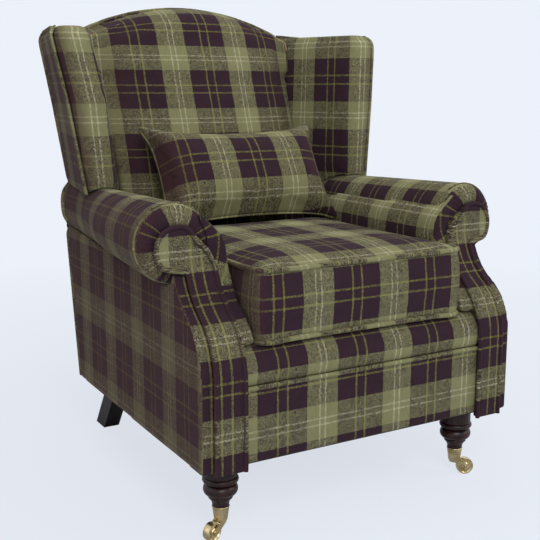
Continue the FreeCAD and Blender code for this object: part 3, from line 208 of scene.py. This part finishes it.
def woven(name, ground, thread, pitch, line=None):
    """A plain coarse weave: threads over and under on the piece's own place, in metres."""
    finish, tree = new_finish(name)
    place = put(tree, "TexCoord").outputs["Object"]
    over, under = [put(tree, "TexWave", {"wave_type": "BANDS", "bands_direction": way}, Vector=place,
                       Scale=0.16 / pitch, Distortion=0.6) for way in ("X", "Y")]
    mesh = put(tree, "Math", {"operation": "MULTIPLY"}, i0=over.outputs[1], i1=under.outputs[1])
    slub = put(tree, "TexNoise", None, Vector=place, Scale=220.0, Detail=3.0)
    mixed = put(tree, "Math", {"operation": "MULTIPLY_ADD"}, i0=slub.outputs[0], i1=0.5, i2=mesh.outputs[0])
    tone = put(tree, "ValToRGB", None, Fac=mixed.outputs[0])
    set_ends(tone, (0.0, ground), (1.0, thread))
    colour = tone.outputs[0]
    if line:
        stripe = put(tree, "TexWave", {"wave_type": "BANDS", "bands_direction": "X"}, Vector=place,
                     Scale=9.0)
        edge = put(tree, "Math", {"operation": "GREATER_THAN"}, i0=stripe.outputs[1], i1=0.97)
        lined = put(tree, "MixRGB", None, i0=edge.outputs[0], i1=colour, i2=linear(line))
        colour = lined.outputs[0]
    relief = put(tree, "Bump", None, Height=mixed.outputs[0], Strength=0.5, Distance=0.0006)
    close_finish(tree, Base_Color=colour, Roughness=0.92, Normal=relief.outputs[0])
    return finish


jute = woven("jute_webbing", "#6E5A3C", "#B39A6C", 0.0022, "#7A2E22")
finish_nodes(jute, "seat_webbing", "back_webbing")
finish_nodes(woven("black_cambric", "#121212", "#242426", 0.0009), "dust_cover")

zinc, tree = new_finish("zinc_plated_steel")
place = put(tree, "TexCoord").outputs["Object"]
brushed = put(tree, "TexNoise", None, Vector=place, Scale=400.0, Detail=3.0)
worn = put(tree, "MapRange", None, Value=brushed.outputs[0], To_Min=0.25, To_Max=0.45)
close_finish(tree, Base_Color=linear("#B9BDC2"), Metallic=1.0, Roughness=worn.outputs[0])
finish_nodes(zinc, "leg_bolts")


# Legs.
# Turned mahogany at the front and square raked legs behind, stained nearly black-brown and
# polished, with a slow change of tone along the grain.

polished = wood("polished_mahogany", "#3B1D17", "#190C0A", (22, 22, 2.2), 0.34, 7.0, coat=0.12)
finish_nodes(polished, *both("front_leg"))
back_polish = wood("stained_back_leg", "#221715", "#120C0B", (22, 22, 2.2), 0.5, 7.0, coat=0.03)
finish_nodes(back_polish, *both("back_leg"))


# Castors.
# Cast and turned brass: a tapered cup screwed to the leg's foot, a swivelling horn, and a wide
# plain wheel, lacquered, with fine turning marks and a tone that drifts at random from brown to pale gold.

brass, tree = new_finish("lacquered_brass")
place = put(tree, "TexCoord").outputs["Object"]
cloudy = put(tree, "TexNoise", None, Vector=place, Scale=60.0, Detail=4.0)
turned = put(tree, "Mapping", None, Vector=place, Scale=(1, 1, 30))
fine = put(tree, "TexNoise", None, Vector=turned.outputs[0], Scale=70.0, Detail=2.0)
tone = put(tree, "ValToRGB", None, Fac=cloudy.outputs[0])
set_ends(tone, (0.3, "#B39C6A"), (0.7, "#E6D5AA"))
worn = put(tree, "MapRange", None, Value=fine.outputs[0], To_Min=0.2, To_Max=0.38)
relief = put(tree, "Bump", None, Height=fine.outputs[0], Strength=0.12, Distance=0.0002)
close_finish(tree, Base_Color=tone.outputs[0], Metallic=1.0, Roughness=worn.outputs[0],
             Normal=relief.outputs[0])
castor = ("castor_cup", "castor_kingpin", "castor_fork", "castor_axle", "castor_wheel")
finish_nodes(brass, *both(*castor))


# The cloth.
# Checked wool, woven two over and two under: a sage band with two cream lines, then a plum band
# with two olive lines, the same both ways and about 172 mm from check to check.

SETT = 0.172


def dyed_threads(tree, way):
    """The colour of the threads that lie across one way of the cloth, from where they lie."""
    turns = put(tree, "Math", {"operation": "MULTIPLY"}, i0=way, i1=1 / SETT)
    along = put(tree, "Math", {"operation": "FRACT"}, i0=turns.outputs[0])
    ramp = put(tree, "ValToRGB", None, Fac=along.outputs[0])
    ramp.color_ramp.interpolation = "CONSTANT"
    stops = [(0, "sage"), (26.0, "cream"), (29.0, "sage"), (38.0, "cream"), (41.0, "sage"), (67, "plum"),
             (107.4, "olive"), (111.4, "plum"), (127.8, "olive"), (131.8, "plum")]
    dye = {"sage": "#8B8A63", "cream": "#BDB99A", "plum": "#392731", "olive": "#7E7C43"}
    elements = ramp.color_ramp.elements
    for count, (start, colour) in enumerate(stops):
        stop = elements[count] if count < 2 else elements.new(0.999)
        stop.position = start / (SETT * 1000)
        stop.color = linear(dye[colour])
    return ramp.outputs[0]


def check_cloth():
    """Two dyed sets of threads woven over and under, with flecks, slubs and a soft nap, and painted shade
    on the faces that turn out to the chair's sides.
    """
    # Real threads stand about 0.7 mm apart. They are drawn at 1.1 mm, so that they show.
    thread = 0.0011
    finish, tree = new_finish("checked_wool")
    spot = put(tree, "TexCoord")
    laid = put(tree, "UVMap", {"uv_map": "cloth"}).outputs[0]
    drift = put(tree, "TexNoise", None, Vector=spot.outputs["Object"], Scale=55.0, Detail=2.0)
    shift = put(tree, "VectorMath", {"operation": "MULTIPLY_ADD"}, i0=drift.outputs[1],
                i1=(0.0012, 0.0012, 0), i2=laid)
    cloth = put(tree, "SeparateXYZ", None, Vector=shift.outputs[0])
    warp, weft = [dyed_threads(tree, cloth.outputs[way]) for way in (0, 1)]

    threads = put(tree, "VectorMath", {"operation": "SCALE"}, i0=laid, Scale=1 / thread)
    counted = put(tree, "VectorMath", {"operation": "FLOOR"}, i0=threads.outputs[0])
    steps = put(tree, "SeparateXYZ", None, Vector=counted.outputs[0])
    rise = put(tree, "Math", {"operation": "ADD"}, i0=steps.outputs[0], i1=steps.outputs[1])
    quarter = put(tree, "Math", {"operation": "MULTIPLY"}, i0=rise.outputs[0], i1=0.25)
    twill = put(tree, "Math", {"operation": "FRACT"}, i0=quarter.outputs[0])
    hairy = put(tree, "TexWhiteNoise", {"noise_dimensions": "2D"}, Vector=counted.outputs[0])
    fleck = put(tree, "TexNoise", None, Vector=laid, Scale=330.0, Detail=2.0)
    ragged = put(tree, "Math", {"operation": "MULTIPLY_ADD"}, i0=hairy.outputs[0], i1=2.4,
                 i2=twill.outputs[0])
    nudged = put(tree, "Math", {"operation": "MULTIPLY_ADD"}, i0=fleck.outputs[0], i1=0.4,
                 i2=ragged.outputs[0])
    over = put(tree, "MapRange", None, Value=nudged.outputs[0], From_Min=1.40, From_Max=2.40,
               To_Min=0.06, To_Max=0.94)
    woven_colour = put(tree, "MixRGB", None, i0=over.outputs[0], i1=warp, i2=weft)

    # Painted shade: faces that turn out to the chair's sides are mixed up to 0.6 of the way toward a dark
    # brown. This stands in for the shade on the chair's outer sides.
    side = put(tree, "SeparateXYZ", None, Vector=spot.outputs["Object"])
    hand = put(tree, "Math", {"operation": "SIGN"}, i0=side.outputs[0])
    faces = put(tree, "SeparateXYZ", None, Vector=spot.outputs["Normal"])
    outward = put(tree, "Math", {"operation": "MULTIPLY"}, i0=faces.outputs[0], i1=hand.outputs[0])
    side_shade_share = put(tree, "MapRange", None, Value=outward.outputs[0], From_Min=0.2, From_Max=0.85,
                To_Min=0.0, To_Max=0.6)
    side_shaded = put(tree, "MixRGB", None, i0=side_shade_share.outputs[0], i1=woven_colour.outputs[0],
                  i2=linear("#4E3536"))

    cloudy = put(tree, "TexNoise", None, Vector=laid, Scale=26.0, Detail=3.0)
    spun = put(tree, "Mapping", None, Vector=laid, Scale=(900, 60, 1))
    slub = put(tree, "TexNoise", None, Vector=spun.outputs[0], Scale=1.0, Detail=2.0)
    slow = put(tree, "MapRange", None, Value=cloudy.outputs[0], From_Min=0.3, From_Max=0.7,
               To_Min=0.93, To_Max=1.07)
    quick = put(tree, "MapRange", None, Value=slub.outputs[0], From_Min=0.3, From_Max=0.7,
                To_Min=0.86, To_Max=1.14)
    uneven = put(tree, "Math", {"operation": "MULTIPLY"}, i0=slow.outputs[0], i1=quick.outputs[0])
    colour = put(tree, "VectorMath", {"operation": "SCALE"}, i0=side_shaded.outputs[0],
                 Scale=uneven.outputs[0])
    nap = put(tree, "Math", {"operation": "ADD"}, i0=over.outputs[0], i1=slub.outputs[0])
    relief = put(tree, "Bump", None, Height=nap.outputs[0], Strength=0.35, Distance=0.0005)
    close_finish(tree, Base_Color=colour.outputs[0], Roughness=0.93, Normal=relief.outputs[0],
                 Sheen_Weight=0.03, Sheen_Roughness=0.5, Specular_IOR_Level=0.1)
    return finish


checked_wool = check_cloth()


def change(piece, kind, **settings):
    """Adds one modifier, sets it, and applies it."""
    only(piece)
    step = piece.modifiers.new("step", kind)
    for key, value in settings.items():
        setattr(step, key, value)
    bpy.ops.object.modifier_apply(modifier=step.name)


def cut_from(name, *solids):
    """A new piece on the skin of one CAD solid or more, sewn up, with its faces outward."""
    bpy.ops.object.select_all(action="DESELECT")
    for solid in solids:
        part = bpy.data.objects.new(name, node[solid].data.copy())
        bpy.context.collection.objects.link(part)
        part.select_set(True)
        bpy.context.view_layer.objects.active = part
    if len(solids) > 1:
        bpy.ops.object.join()
    piece = bpy.context.view_layer.objects.active
    piece.name = name
    piece.data.materials.clear()
    piece.data.materials.append(checked_wool)
    bpy.ops.object.mode_set(mode="EDIT")
    bpy.ops.mesh.select_all(action="SELECT")
    bpy.ops.mesh.remove_doubles(threshold=1e-5)
    bpy.ops.mesh.normals_make_consistent(inside=False)
    bpy.ops.object.mode_set(mode="OBJECT")
    return piece


def points_of(piece):
    """Every corner's place, as rows of x, y and z."""
    flat = np.empty(len(piece.data.vertices) * 3)
    piece.data.vertices.foreach_get("co", flat)
    return flat.reshape(-1, 3)


def normals_of(piece):
    """The way each corner faces, as rows of x, y and z."""
    flat = np.empty(len(piece.data.vertices) * 3)
    piece.data.vertices.foreach_get("normal", flat)
    return flat.reshape(-1, 3)


def move_points(piece, places):
    """Puts every corner at its new place."""
    piece.data.vertices.foreach_set("co", places.reshape(-1))
    piece.data.update()


def stuff(piece, voxel, pressure=0.0, cap=0.008, free=None, soften=4, finer=True):
    """Fills a cover: an even mesh, blown out a little by pressure, held back where it is nailed down."""
    change(piece, "REMESH", mode="VOXEL", voxel_size=voxel, adaptivity=0.0)
    change(piece, "SMOOTH", factor=0.5, iterations=soften)
    if pressure:
        before = points_of(piece)
        facing = normals_of(piece)
        only(piece)
        cloth = piece.modifiers.new("stuffing", "CLOTH")
        cloth.settings.use_pressure = True
        cloth.settings.uniform_pressure_force = pressure
        cloth.settings.effector_weights.gravity = 0.0
        cloth.settings.quality = 3
        frames = 20
        cloth.point_cache.frame_start = 1
        cloth.point_cache.frame_end = frames
        for turn in range(1, frames + 1):
            bpy.context.scene.frame_set(turn)
        bpy.ops.object.modifier_apply(modifier=cloth.name)
        travel = points_of(piece) - before
        length = np.linalg.norm(travel, axis=1)
        travel *= (np.minimum(length, cap) / np.maximum(length, 1e-9))[:, None]
        if free is not None:
            travel *= free(before, facing)[:, None]
        move_points(piece, before + travel)
        bpy.context.scene.frame_set(1)
    if finer:
        change(piece, "SUBSURF", levels=1, render_levels=1)
    only(piece)
    bpy.ops.object.shade_smooth()
    return piece


def lay_cloth(piece, rule):
    mesh = piece.data
    sheet = mesh.uv_layers.get("cloth") or mesh.uv_layers.new(name="cloth")
    corners = np.empty(len(mesh.loops), dtype=np.int32)
    mesh.loops.foreach_get("vertex_index", corners)
    place = points_of(piece)[corners] * 1000
    facing = np.empty(len(mesh.polygons) * 3)
    mesh.polygons.foreach_get("normal", facing)
    sides = np.empty(len(mesh.polygons), dtype=np.int32)
    mesh.polygons.foreach_get("loop_total", sides)
    facing = np.repeat(facing.reshape(-1, 3), sides, axis=0)
    across, up = rule(place[:, 0], place[:, 1], place[:, 2], facing)
    flat = np.stack([across, up], axis=1) / 1000
    sheet.data.foreach_set("uv", flat.reshape(-1))


def cover(piece, rule, solids, body="root", fill=0.85):
    """Lays the cloth, hides the solids the piece stands for, and hangs the piece on what it moves with."""
    lay_cloth(piece, rule)
    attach(piece, body)
    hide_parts(*solids)


def skin_of(piece):
    """A piece's faces, to find the nearest place on them."""
    corners = [corner.co for corner in piece.data.vertices]
    return BVHTree.FromPolygons(corners, [list(face.vertices) for face in piece.data.polygons])


def piping(name, path, onto, rule, radius=0.004, closed=False, sink=0.4, body="root"):
    """A cord in its own cloth, sewn into a seam: it follows the path, set down on the covers beside it."""
    path = [Vector(point) for point in path]
    ends = list(zip(path, path[1:] + path[:1])) if closed else list(zip(path, path[1:]))
    dense = []
    for start, end in ends:
        steps = max(1, round((end - start).length / 0.006))
        dense += [start.lerp(end, step / steps) for step in range(steps)]
    if not closed:
        dense.append(path[-1])
    trees = [skin_of(cover) for cover in onto]
    placed = []
    for point in dense:
        found = [tree.find_nearest(point) for tree in trees]
        hit = min((near for near in found if near[0] is not None), key=lambda near: near[3])
        placed.append(hit[0] + hit[1] * radius * sink)
    for turn in range(3):
        ahead = placed[1:] + placed[:1]
        behind = placed[-1:] + placed[:-1]
        evened = [(last + here * 2 + following) / 4 for last, here, following in zip(behind, placed, ahead)]
        if not closed:
            evened[0] = placed[0]
            evened[-1] = placed[-1]
        placed = evened
    line = bpy.data.curves.new(name, "CURVE")
    line.dimensions = "3D"
    line.bevel_depth = radius
    line.bevel_resolution = 3
    line.use_fill_caps = True
    spline = line.splines.new("POLY")
    spline.points.add(len(placed) - 1)
    for spot, point in zip(spline.points, placed):
        spot.co = (*point, 1)
    spline.use_cyclic_u = closed
    holder = bpy.data.objects.new(name, line)
    bpy.context.collection.objects.link(holder)
    only(holder)
    bpy.ops.object.convert(target="MESH")
    piece = bpy.context.object
    piece.name = name
    piece.data.materials.clear()
    piece.data.materials.append(checked_wool)
    bpy.ops.object.shade_smooth()
    lay_cloth(piece, rule)
    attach(piece, body)
    return piece


# Outside arm panels.
# The cloth outside each arm, drawn tight from the scroll down to the rail, and turned round the
# front edge as a narrow band beside the scroll's facing.

# The arm's front stands upright to the foot of an S, which runs back to the scroll. Heights and
# depths are in mm, and the last value is the cloth's own length up the upper half of the S.
UPRIGHT_FRONT, SCROLL_FRONT = -407, -293
SWEEP_FOOT, SWEEP_TURN, SWEEP_TOP = 320, 430, 540
SWEEP_RADIUS = 134.6
UPPER_SWEEP_LENGTH = 128.6
# Where the check starts on the cloth of the arms' fronts, and how often it comes along the arms.
FRONT_START = 363
ARM_REPEAT = 154


def sweep_of(z):
    """How far forward the arm's front stands at a height, in mm."""
    up = np.clip(z, SWEEP_FOOT, SWEEP_TURN) - SWEEP_FOOT
    down = SWEEP_TOP - np.clip(z, SWEEP_TURN, SWEEP_TOP)
    low = UPRIGHT_FRONT + SWEEP_RADIUS - np.sqrt(np.maximum(0, SWEEP_RADIUS ** 2 - up ** 2))
    high = SCROLL_FRONT - SWEEP_RADIUS + np.sqrt(np.maximum(0, SWEEP_RADIUS ** 2 - down ** 2))
    return np.where(z <= SWEEP_FOOT, UPRIGHT_FRONT, np.where(z <= SWEEP_TURN, low, high))


def up_the_front(z):
    """The cloth's own length up the arm's front, in mm."""
    up = np.clip(z, SWEEP_FOOT, SWEEP_TURN) - SWEEP_FOOT
    down = SWEEP_TOP - np.clip(z, SWEEP_TURN, SWEEP_TOP)
    low = SWEEP_RADIUS * np.arcsin(up / SWEEP_RADIUS)
    high = UPPER_SWEEP_LENGTH - SWEEP_RADIUS * np.arcsin(down / SWEEP_RADIUS)
    return np.minimum(z, SWEEP_FOOT) + low + high + np.maximum(0, z - SWEEP_TOP)


def along_the_arm(y):
    """The check's way along the side of an arm, in mm of cloth."""
    return (y - 10) * SETT * 1000 / ARM_REPEAT


def outside_arm_rule(x, y, z, facing):
    front = y - sweep_of(z) - 4 < 355 - abs(x)
    across = np.where(front, 464.5 - abs(x), along_the_arm(y))
    return across, np.where(front, up_the_front(z) - FRONT_START, z - 311)


for side in ("left", "right"):
    piece = stuff(cut_from(f"outside_arm_cover_{side}", f"outside_arm_{side}"), 0.005, soften=3)
    cover(piece, outside_arm_rule, [f"outside_arm_{side}"], fill=0.9)


# Scroll arms.
# Each arm is a roll of stuffing over a rail, thick in front and slim behind. The cloth runs over
# the roll, and a band of it is drawn in small pleats round the scroll's front.

def roll_centre(y):
    """The roll's centre, across and up, and its radius, at a depth: it thins toward the back."""
    back = (y + 289) / 634
    return 342 - 33 * back, 546 + 6 * back, 74 - 22 * back


def round_roll(x, y, z):
    """The angle round the roll, and the distance from its centre."""
    across, height = roll_centre(y)[:2]
    return np.arctan2(z - height, across - abs(x)), np.hypot(z - height, abs(x) - across)


def round_the_band(angle, out):
    return (angle - math.radians(58)) * 75, 72 + (out - 42) * 0.9


def roll_rule(x, y, z, facing):
    angle, out = round_roll(x, y, z)
    angle = np.where(angle < -1.9, angle + 2 * np.pi, angle)
    nose = (facing[:, 1] < -0.45) & (y < -240)
    band_across, band_up = round_the_band(angle, out)
    across = np.where(nose, band_across, along_the_arm(y))
    return across, np.where(nose, band_up, 67 + (angle - math.radians(105)) * 72)


def draw_in(spots, share):
    """Brings the sides of the roll's rear end, or the panel behind it, in toward the back posts."""
    return np.sign(spots[:, 0]) * share * np.maximum(0, abs(spots[:, 0]) - 0.334) * 0.6


arm_roll = {}
for side in ("left", "right"):
    piece = stuff(cut_from(f"arm_roll_cover_{side}", f"arm_roll_{side}"), 0.005, soften=3)
    spots, out = points_of(piece), normals_of(piece)
    angle, reach = round_roll(*(spots.T * 1000))
    in_band = np.clip((-out[:, 1] - 0.15) / 0.4, 0, 1) * (spots[:, 1] < -0.235)
    spots[:, 0] -= draw_in(spots, np.clip(spots[:, 1] / 0.24, 0, 1))
    folds = np.sin(angle * 22 + 1.2 * np.sin(angle * 5)) ** 2
    pleats = folds * np.clip((75 - reach) / 26, 0, 1) ** 0.7
    move_points(piece, spots - out * (pleats * in_band * 0.0030)[:, None])
    cover(piece, roll_rule, [f"arm_roll_{side}"], fill=0.85)
    arm_roll[side] = piece


def up_a_seam(start, stripe=12):
    """A rule for a piping that stands up: the check goes with the height, on a stripe of one colour."""
    return lambda x, y, z, facing: (stripe + 5 * facing[:, 0], z - start)


def along_a_seam(start, stripe=14):
    """A rule for a piping that lies level from side to side."""
    return lambda x, y, z, facing: (x + start, stripe + 5 * facing[:, 2])


band_seam = -262
for side, hand in (("left", -1), ("right", 1)):
    across, height, radius = roll_centre(band_seam)
    path = []
    for angle in np.radians(np.linspace(-12, 212, 40)):
        out = hand * (across - radius * math.cos(angle)) / 1000
        path.append((out, band_seam / 1000, (height + radius * math.sin(angle)) / 1000))
    piping(f"arm_roll_piping_{side}", path, [arm_roll[side]], up_a_seam(0, 60), radius=0.0026, sink=0.2)


# Arm facings.
# A shaped board padded and covered, from the scroll's round down to the leg, with a piped edge.

def facing_rule(x, y, z, facing):
    return 427.5 - abs(x), up_the_front(z) - FRONT_START


def facing_piping_rule(x, y, z, facing):
    return 92 + 6 * facing[:, 0] + 6 * facing[:, 1], up_the_front(z) - FRONT_START


def arc(across, up, wide, high, start, end, count):
    """Points round part of an oval, between two angles in degrees."""
    angles = np.radians(np.linspace(start, end, count))
    return [(across + wide * math.cos(angle), up + high * math.sin(angle)) for angle in angles]


for side, hand in (("left", -1), ("right", 1)):
    piece = stuff(cut_from(f"arm_facing_cover_{side}", f"arm_facing_{side}"), 0.0035, soften=3, finer=False)
    spots, out = points_of(piece), normals_of(piece)
    forward = np.clip((-out[:, 1] - 0.35) / 0.4, 0, 1)
    move_points(piece, spots - np.array([0, 1, 0]) * (forward * 0.003)[:, None])
    cover(piece, facing_rule, [f"arm_facing_{side}"], fill=0.9)
    edge = [(0.326, z) for z in np.linspace(0.154, 0.499, 30)]
    edge += arc(0.342, 0.538, 0.042, 0.042, -50, 120, 26)
    edge += [(0.321 - 0.004 * step, 0.5744 - 0.007 * step) for step in (1, 2, 3, 4)]
    edge += [(0.273 + 0.021 * ((z - 0.4912) / 0.055) ** 1.3, z) for z in np.linspace(0.540, 0.4912, 8)]
    edge += [(0.273, z) for z in np.linspace(0.48, 0.154, 30)]
    path = [(hand * x, float(sweep_of(z * 1000)) / 1000 - 0.001, z) for x, z in edge]
    piping(f"arm_facing_piping_{side}", path, [piece], facing_piping_rule, radius=0.0046, sink=0.6)


# Inside arms.
# The pad between the seat and the roll, drawn down behind the cushion.

def inside_arm_rule(x, y, z, facing):
    front = facing[:, 1] < -0.5
    angle, out = round_roll(x, y, z)
    band = front & (z > 470)
    band_across, band_up = round_the_band(angle, out)
    across = np.where(band, band_across, np.where(front, 400 - abs(x), y + 300))
    up = np.where(front, up_the_front(z) - FRONT_START, z - 359)
    return across, np.where(band, band_up, up)


for side in ("left", "right"):
    piece = stuff(cut_from(f"inside_arm_cover_{side}", f"inside_arm_{side}"), 0.006, soften=4)
    cover(piece, inside_arm_rule, [f"inside_arm_{side}"], fill=0.85)


# Front border and lip.
# A flat covered border along the front rail, and above it the soft lip that the cushion rests
# behind, joined by a piped seam.

def border_rule(x, y, z, facing):
    return x + 138, z - 180


def lip_rule(x, y, z, facing):
    return x + 138, z - 262 + np.maximum(0, y + 396)


border = stuff(cut_from("front_border_cover", "front_border"), 0.004, soften=3, finer=False)
cover(border, border_rule, ["front_border"], fill=0.9)
lip = stuff(cut_from("front_lip_cover", "front_lip"), 0.004, soften=3, finer=False)
cover(lip, lip_rule, ["front_lip"], fill=0.8)
seam = [(x, -0.4035, 0.3015) for x in np.linspace(-0.272, 0.272, 60)]
piping("front_border_piping", seam, [border, lip], along_a_seam(138), radius=0.0045, sink=0.3)


# Inside back.
# The sprung back pad, crowned from side to side, rolled over the top rail and pulled tight down
# both sides against the wings.

def inside_back_rule(x, y, z, facing):
    roll = np.maximum(0, y - 322) * 0.7 * (z > 900)
    return x + 112, (z - 862) * 1.186 + roll


def back_swell(place, out):
    """The back pad swells in front only, and not where the wings hold its sides."""
    return np.clip(-out[:, 1] * 1.4 - 0.2, 0, 1) * np.clip((0.262 - abs(place[:, 0])) / 0.05, 0, 1)


back_pad = stuff(cut_from("inside_back_cover", "inside_back", "top_rail"), 0.008, pressure=3.0,
                 cap=0.006, free=back_swell, soften=4)
spots, out = points_of(back_pad), normals_of(back_pad)
move_points(back_pad, spots + out * (0.0045 * np.clip((spots[:, 2] - 0.84) / 0.03, 0, 1))[:, None])
cover(back_pad, inside_back_rule, ["inside_back"], fill=0.8)


# Wings.
# A padded wing each side: the inner cloth turns round a rounded front edge to a piped seam, and a
# plain skin closes the outside.

def wing_front(z):
    """The inner front edge of the wing at a height, in mm: how far out, and how far forward."""
    heights = (570, 790, 928)
    return np.interp(z, heights, (302, 314, 336)), np.interp(z, heights, (100, 118, 146))


def wing_rule(x, y, z, facing):
    fx, fy = wing_front(z)
    dx, dy = abs(x) - fx, y - fy
    back = np.maximum(0, -0.318 * dx + 0.948 * dy)
    out = np.maximum(0, 0.96 * dx + 0.28 * dy)
    return back - out + 60, z - 721


def outside_wing_rule(x, y, z, facing):
    return y - 66, z - 721


def wing_swell(hand):
    """A wing swells where it faces inward and forward."""
    return lambda place, out: np.clip(-out[:, 0] * hand * 1.2 - out[:, 1] * 0.8, 0, 1)


wing_pad, outside_wing = {}, {}
for side, hand in (("left", -1), ("right", 1)):
    piece = stuff(cut_from(f"wing_pad_cover_{side}", f"wing_pad_{side}"), 0.007, pressure=3.0,
                  cap=0.004, free=wing_swell(hand), soften=4)
    cover(piece, wing_rule, [f"wing_pad_{side}"], fill=0.8)
    wing_pad[side] = piece
    panel = cut_from(f"outside_wing_cover_{side}", f"outside_wing_{side}")
    panel = stuff(panel, 0.002, soften=2, finer=False)
    cover(panel, outside_wing_rule, [f"outside_wing_{side}"], fill=0.9)
    outside_wing[side] = panel


heights = (0.570, 0.790, 0.928)
for side, hand in (("left", -1), ("right", 1)):
    path = []
    for z in np.linspace(0.600, 0.930, 40):
        forward = float(np.interp(z, heights, (0.118, 0.140, 0.165)))
        path.append((hand * np.interp(z, heights, (0.358, 0.388, 0.411)), forward, z))
    over_top = [(0.408, 0.176, 0.945), (0.396, 0.235, 0.949), (0.380, 0.310, 0.949), (0.362, 0.388, 0.949)]
    path += [(hand * x, y, z) for x, y, z in over_top]
    piping(f"wing_piping_{side}", path, [wing_pad[side], outside_wing[side]], up_a_seam(721),
           radius=0.004, sink=0.4)


# Outside back.
# One panel of cloth closes the back, tacked under the rail and sewn by hand up both sides and
# over the arched top.

def outside_back_rule(x, y, z, facing):
    return x + 112, z - 862


rear = stuff(cut_from("outside_back_cover", "outside_back"), 0.003, soften=2, finer=False)
spots = points_of(rear)
at_roll = np.clip((0.640 - spots[:, 2]) / 0.03, 0, 1) * np.clip((spots[:, 2] - 0.500) / 0.01, 0, 1)
spots[:, 0] -= draw_in(spots, at_roll)
move_points(rear, spots)
cover(rear, outside_back_rule, ["outside_back"], fill=0.9)


def back_stand(z, depth=3):
    """How far back the chair's rear face stands at a height, less a depth, in metres."""
    return (266 + 0.1709 * (z * 1000 - 156) - depth / 0.9857) / 1000


for side, hand in (("left", -1), ("right", 1)):
    path = [(0.340, z) for z in np.linspace(0.160, 0.497, 30)]
    path += arc(0.305, 0.552, 0.0440, 0.0560, -58, 70, 16)
    for z in np.linspace(0.615, 0.935, 30):
        path.append((float(np.interp(z, (0.604, 0.790, 0.928), (0.326, 0.346, 0.364))), z))
    path += [(0.351, 0.948), (0.310, 0.951), (0.270, 0.953)]
    piping(f"back_piping_{side}", [(hand * x, back_stand(z), z) for x, z in path], [rear],
           up_a_seam(862), radius=0.004, sink=0.2)
arch = [(x, 1.012 - 0.060 * (x / 0.267) ** 2) for x in np.linspace(-0.264, 0.264, 50)]
piping("back_piping_top", [(x, back_stand(z), z) for x, z in arch], [rear],
       along_a_seam(112, 12), radius=0.0035, sink=0.0)


# Seat platform.
# Calico over the seat springs, under the loose cushion.

platform = stuff(cut_from("seat_platform_cover", "seat_platform"), 0.008, soften=3, finer=False)
platform.data.materials.clear()
platform.data.materials.append(woven("calico_platform", "#2B2426", "#3B3034", 0.0012))
lay_cloth(platform, lambda x, y, z, facing: (x, y))
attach(platform, "root")
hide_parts("seat_platform")


# Seat cushion.
# A loose boxed cushion: top and bottom panels joined to a border by piped seams, crowned by its
# feather and foam filling.

def seat_rule(x, y, z, facing):
    top = abs(facing[:, 2]) > 0.55
    side = (~top) & (abs(facing[:, 0]) > 0.75)
    return np.where(side, y + 396, x + 143), np.where(top, y + 239, z - 325.5)


def seat_piping_rule(x, y, z, facing):
    return x + 143 + y * 0.8, 14 + 5 * facing[:, 2]


def seat_swell(place, out):
    """The cushion swells above its lower seam only, so it still lies flat."""
    return np.clip((place[:, 2] - 0.378) / 0.02, 0, 1)


seat = stuff(cut_from("seat_cushion_cover", "seat_cushion"), 0.008, pressure=4.0, cap=0.003,
             free=seat_swell, soften=4)
cover(seat, seat_rule, ["seat_cushion"], body="seat_cushion", fill=0.8)
for name, height in (("upper", 0.5075), ("lower", 0.3752)):
    corners = [(0.211, 0.096), (-0.211, 0.096), (-0.211, -0.370), (0.211, -0.370)]
    path = []
    for count, (across, back) in enumerate(corners):
        path += arc(across, back, 0.0225, 0.0225, 90 * count, 90 * count + 90, 6)
    piping(f"seat_cushion_piping_{name}", [(x, y, height) for x, y in path], [seat], seat_piping_rule,
           radius=0.005, closed=True, sink=0.6, body="seat_cushion")


# Scatter cushion.
# A loose oblong cushion leaning on the back, knife-edged with pulled-out corners and a thin
# piped edge.

# How much of a step up the leaning cushion goes back, and how much goes up.
LEAN_BACK, LEAN_UP = 0.5, 0.866


def scatter_rule(x, y, z, facing):
    along = (y - 128) * LEAN_BACK + (z - 628) * LEAN_UP
    return x + 92, along + 109


scatter = cut_from("scatter_cushion_cover", "scatter_cushion")
bpy.ops.object.mode_set(mode="EDIT")
bpy.ops.mesh.select_all(action="SELECT")
bpy.ops.transform.translate(value=(0, -0.002, -0.004))
bpy.ops.object.mode_set(mode="OBJECT")
scatter = stuff(scatter, 0.007, pressure=4.0, cap=0.008, soften=2)
spots = points_of(scatter)
sideways = spots[:, 0] - 0.014
upright = (spots[:, 1] - 0.126) * LEAN_BACK + (spots[:, 2] - 0.624) * LEAN_UP
far_out = np.clip((abs(sideways) - 0.150) / 0.075, 0, 1) ** 1.5
far_up = np.clip((abs(upright) - 0.065) / 0.055, 0, 1) ** 1.5
ear = far_out * far_up * 0.016
spots[:, 0] += np.sign(sideways) * ear
spots[:, 1] += np.sign(upright) * ear * LEAN_BACK * 0.7
spots[:, 2] += np.sign(upright) * ear * LEAN_UP * 0.7
move_points(scatter, spots)
cover(scatter, scatter_rule, ["scatter_cushion"], body="scatter_cushion", fill=0.7)

skin = skin_of(scatter)
middle = Vector((0.014, 0.128, 0.628))
upward = Vector((0, LEAN_BACK, LEAN_UP))
edge = []
for turn in range(180):
    angle = math.radians(2 * turn)
    way = Vector((1, 0, 0)) * math.cos(angle) + upward * math.sin(angle)
    edge.append(skin.ray_cast(middle + way * 0.5, -way)[0])
piping("scatter_cushion_piping", edge, [scatter], along_a_seam(92, 12), radius=0.0028,
       closed=True, sink=0.2, body="scatter_cushion")
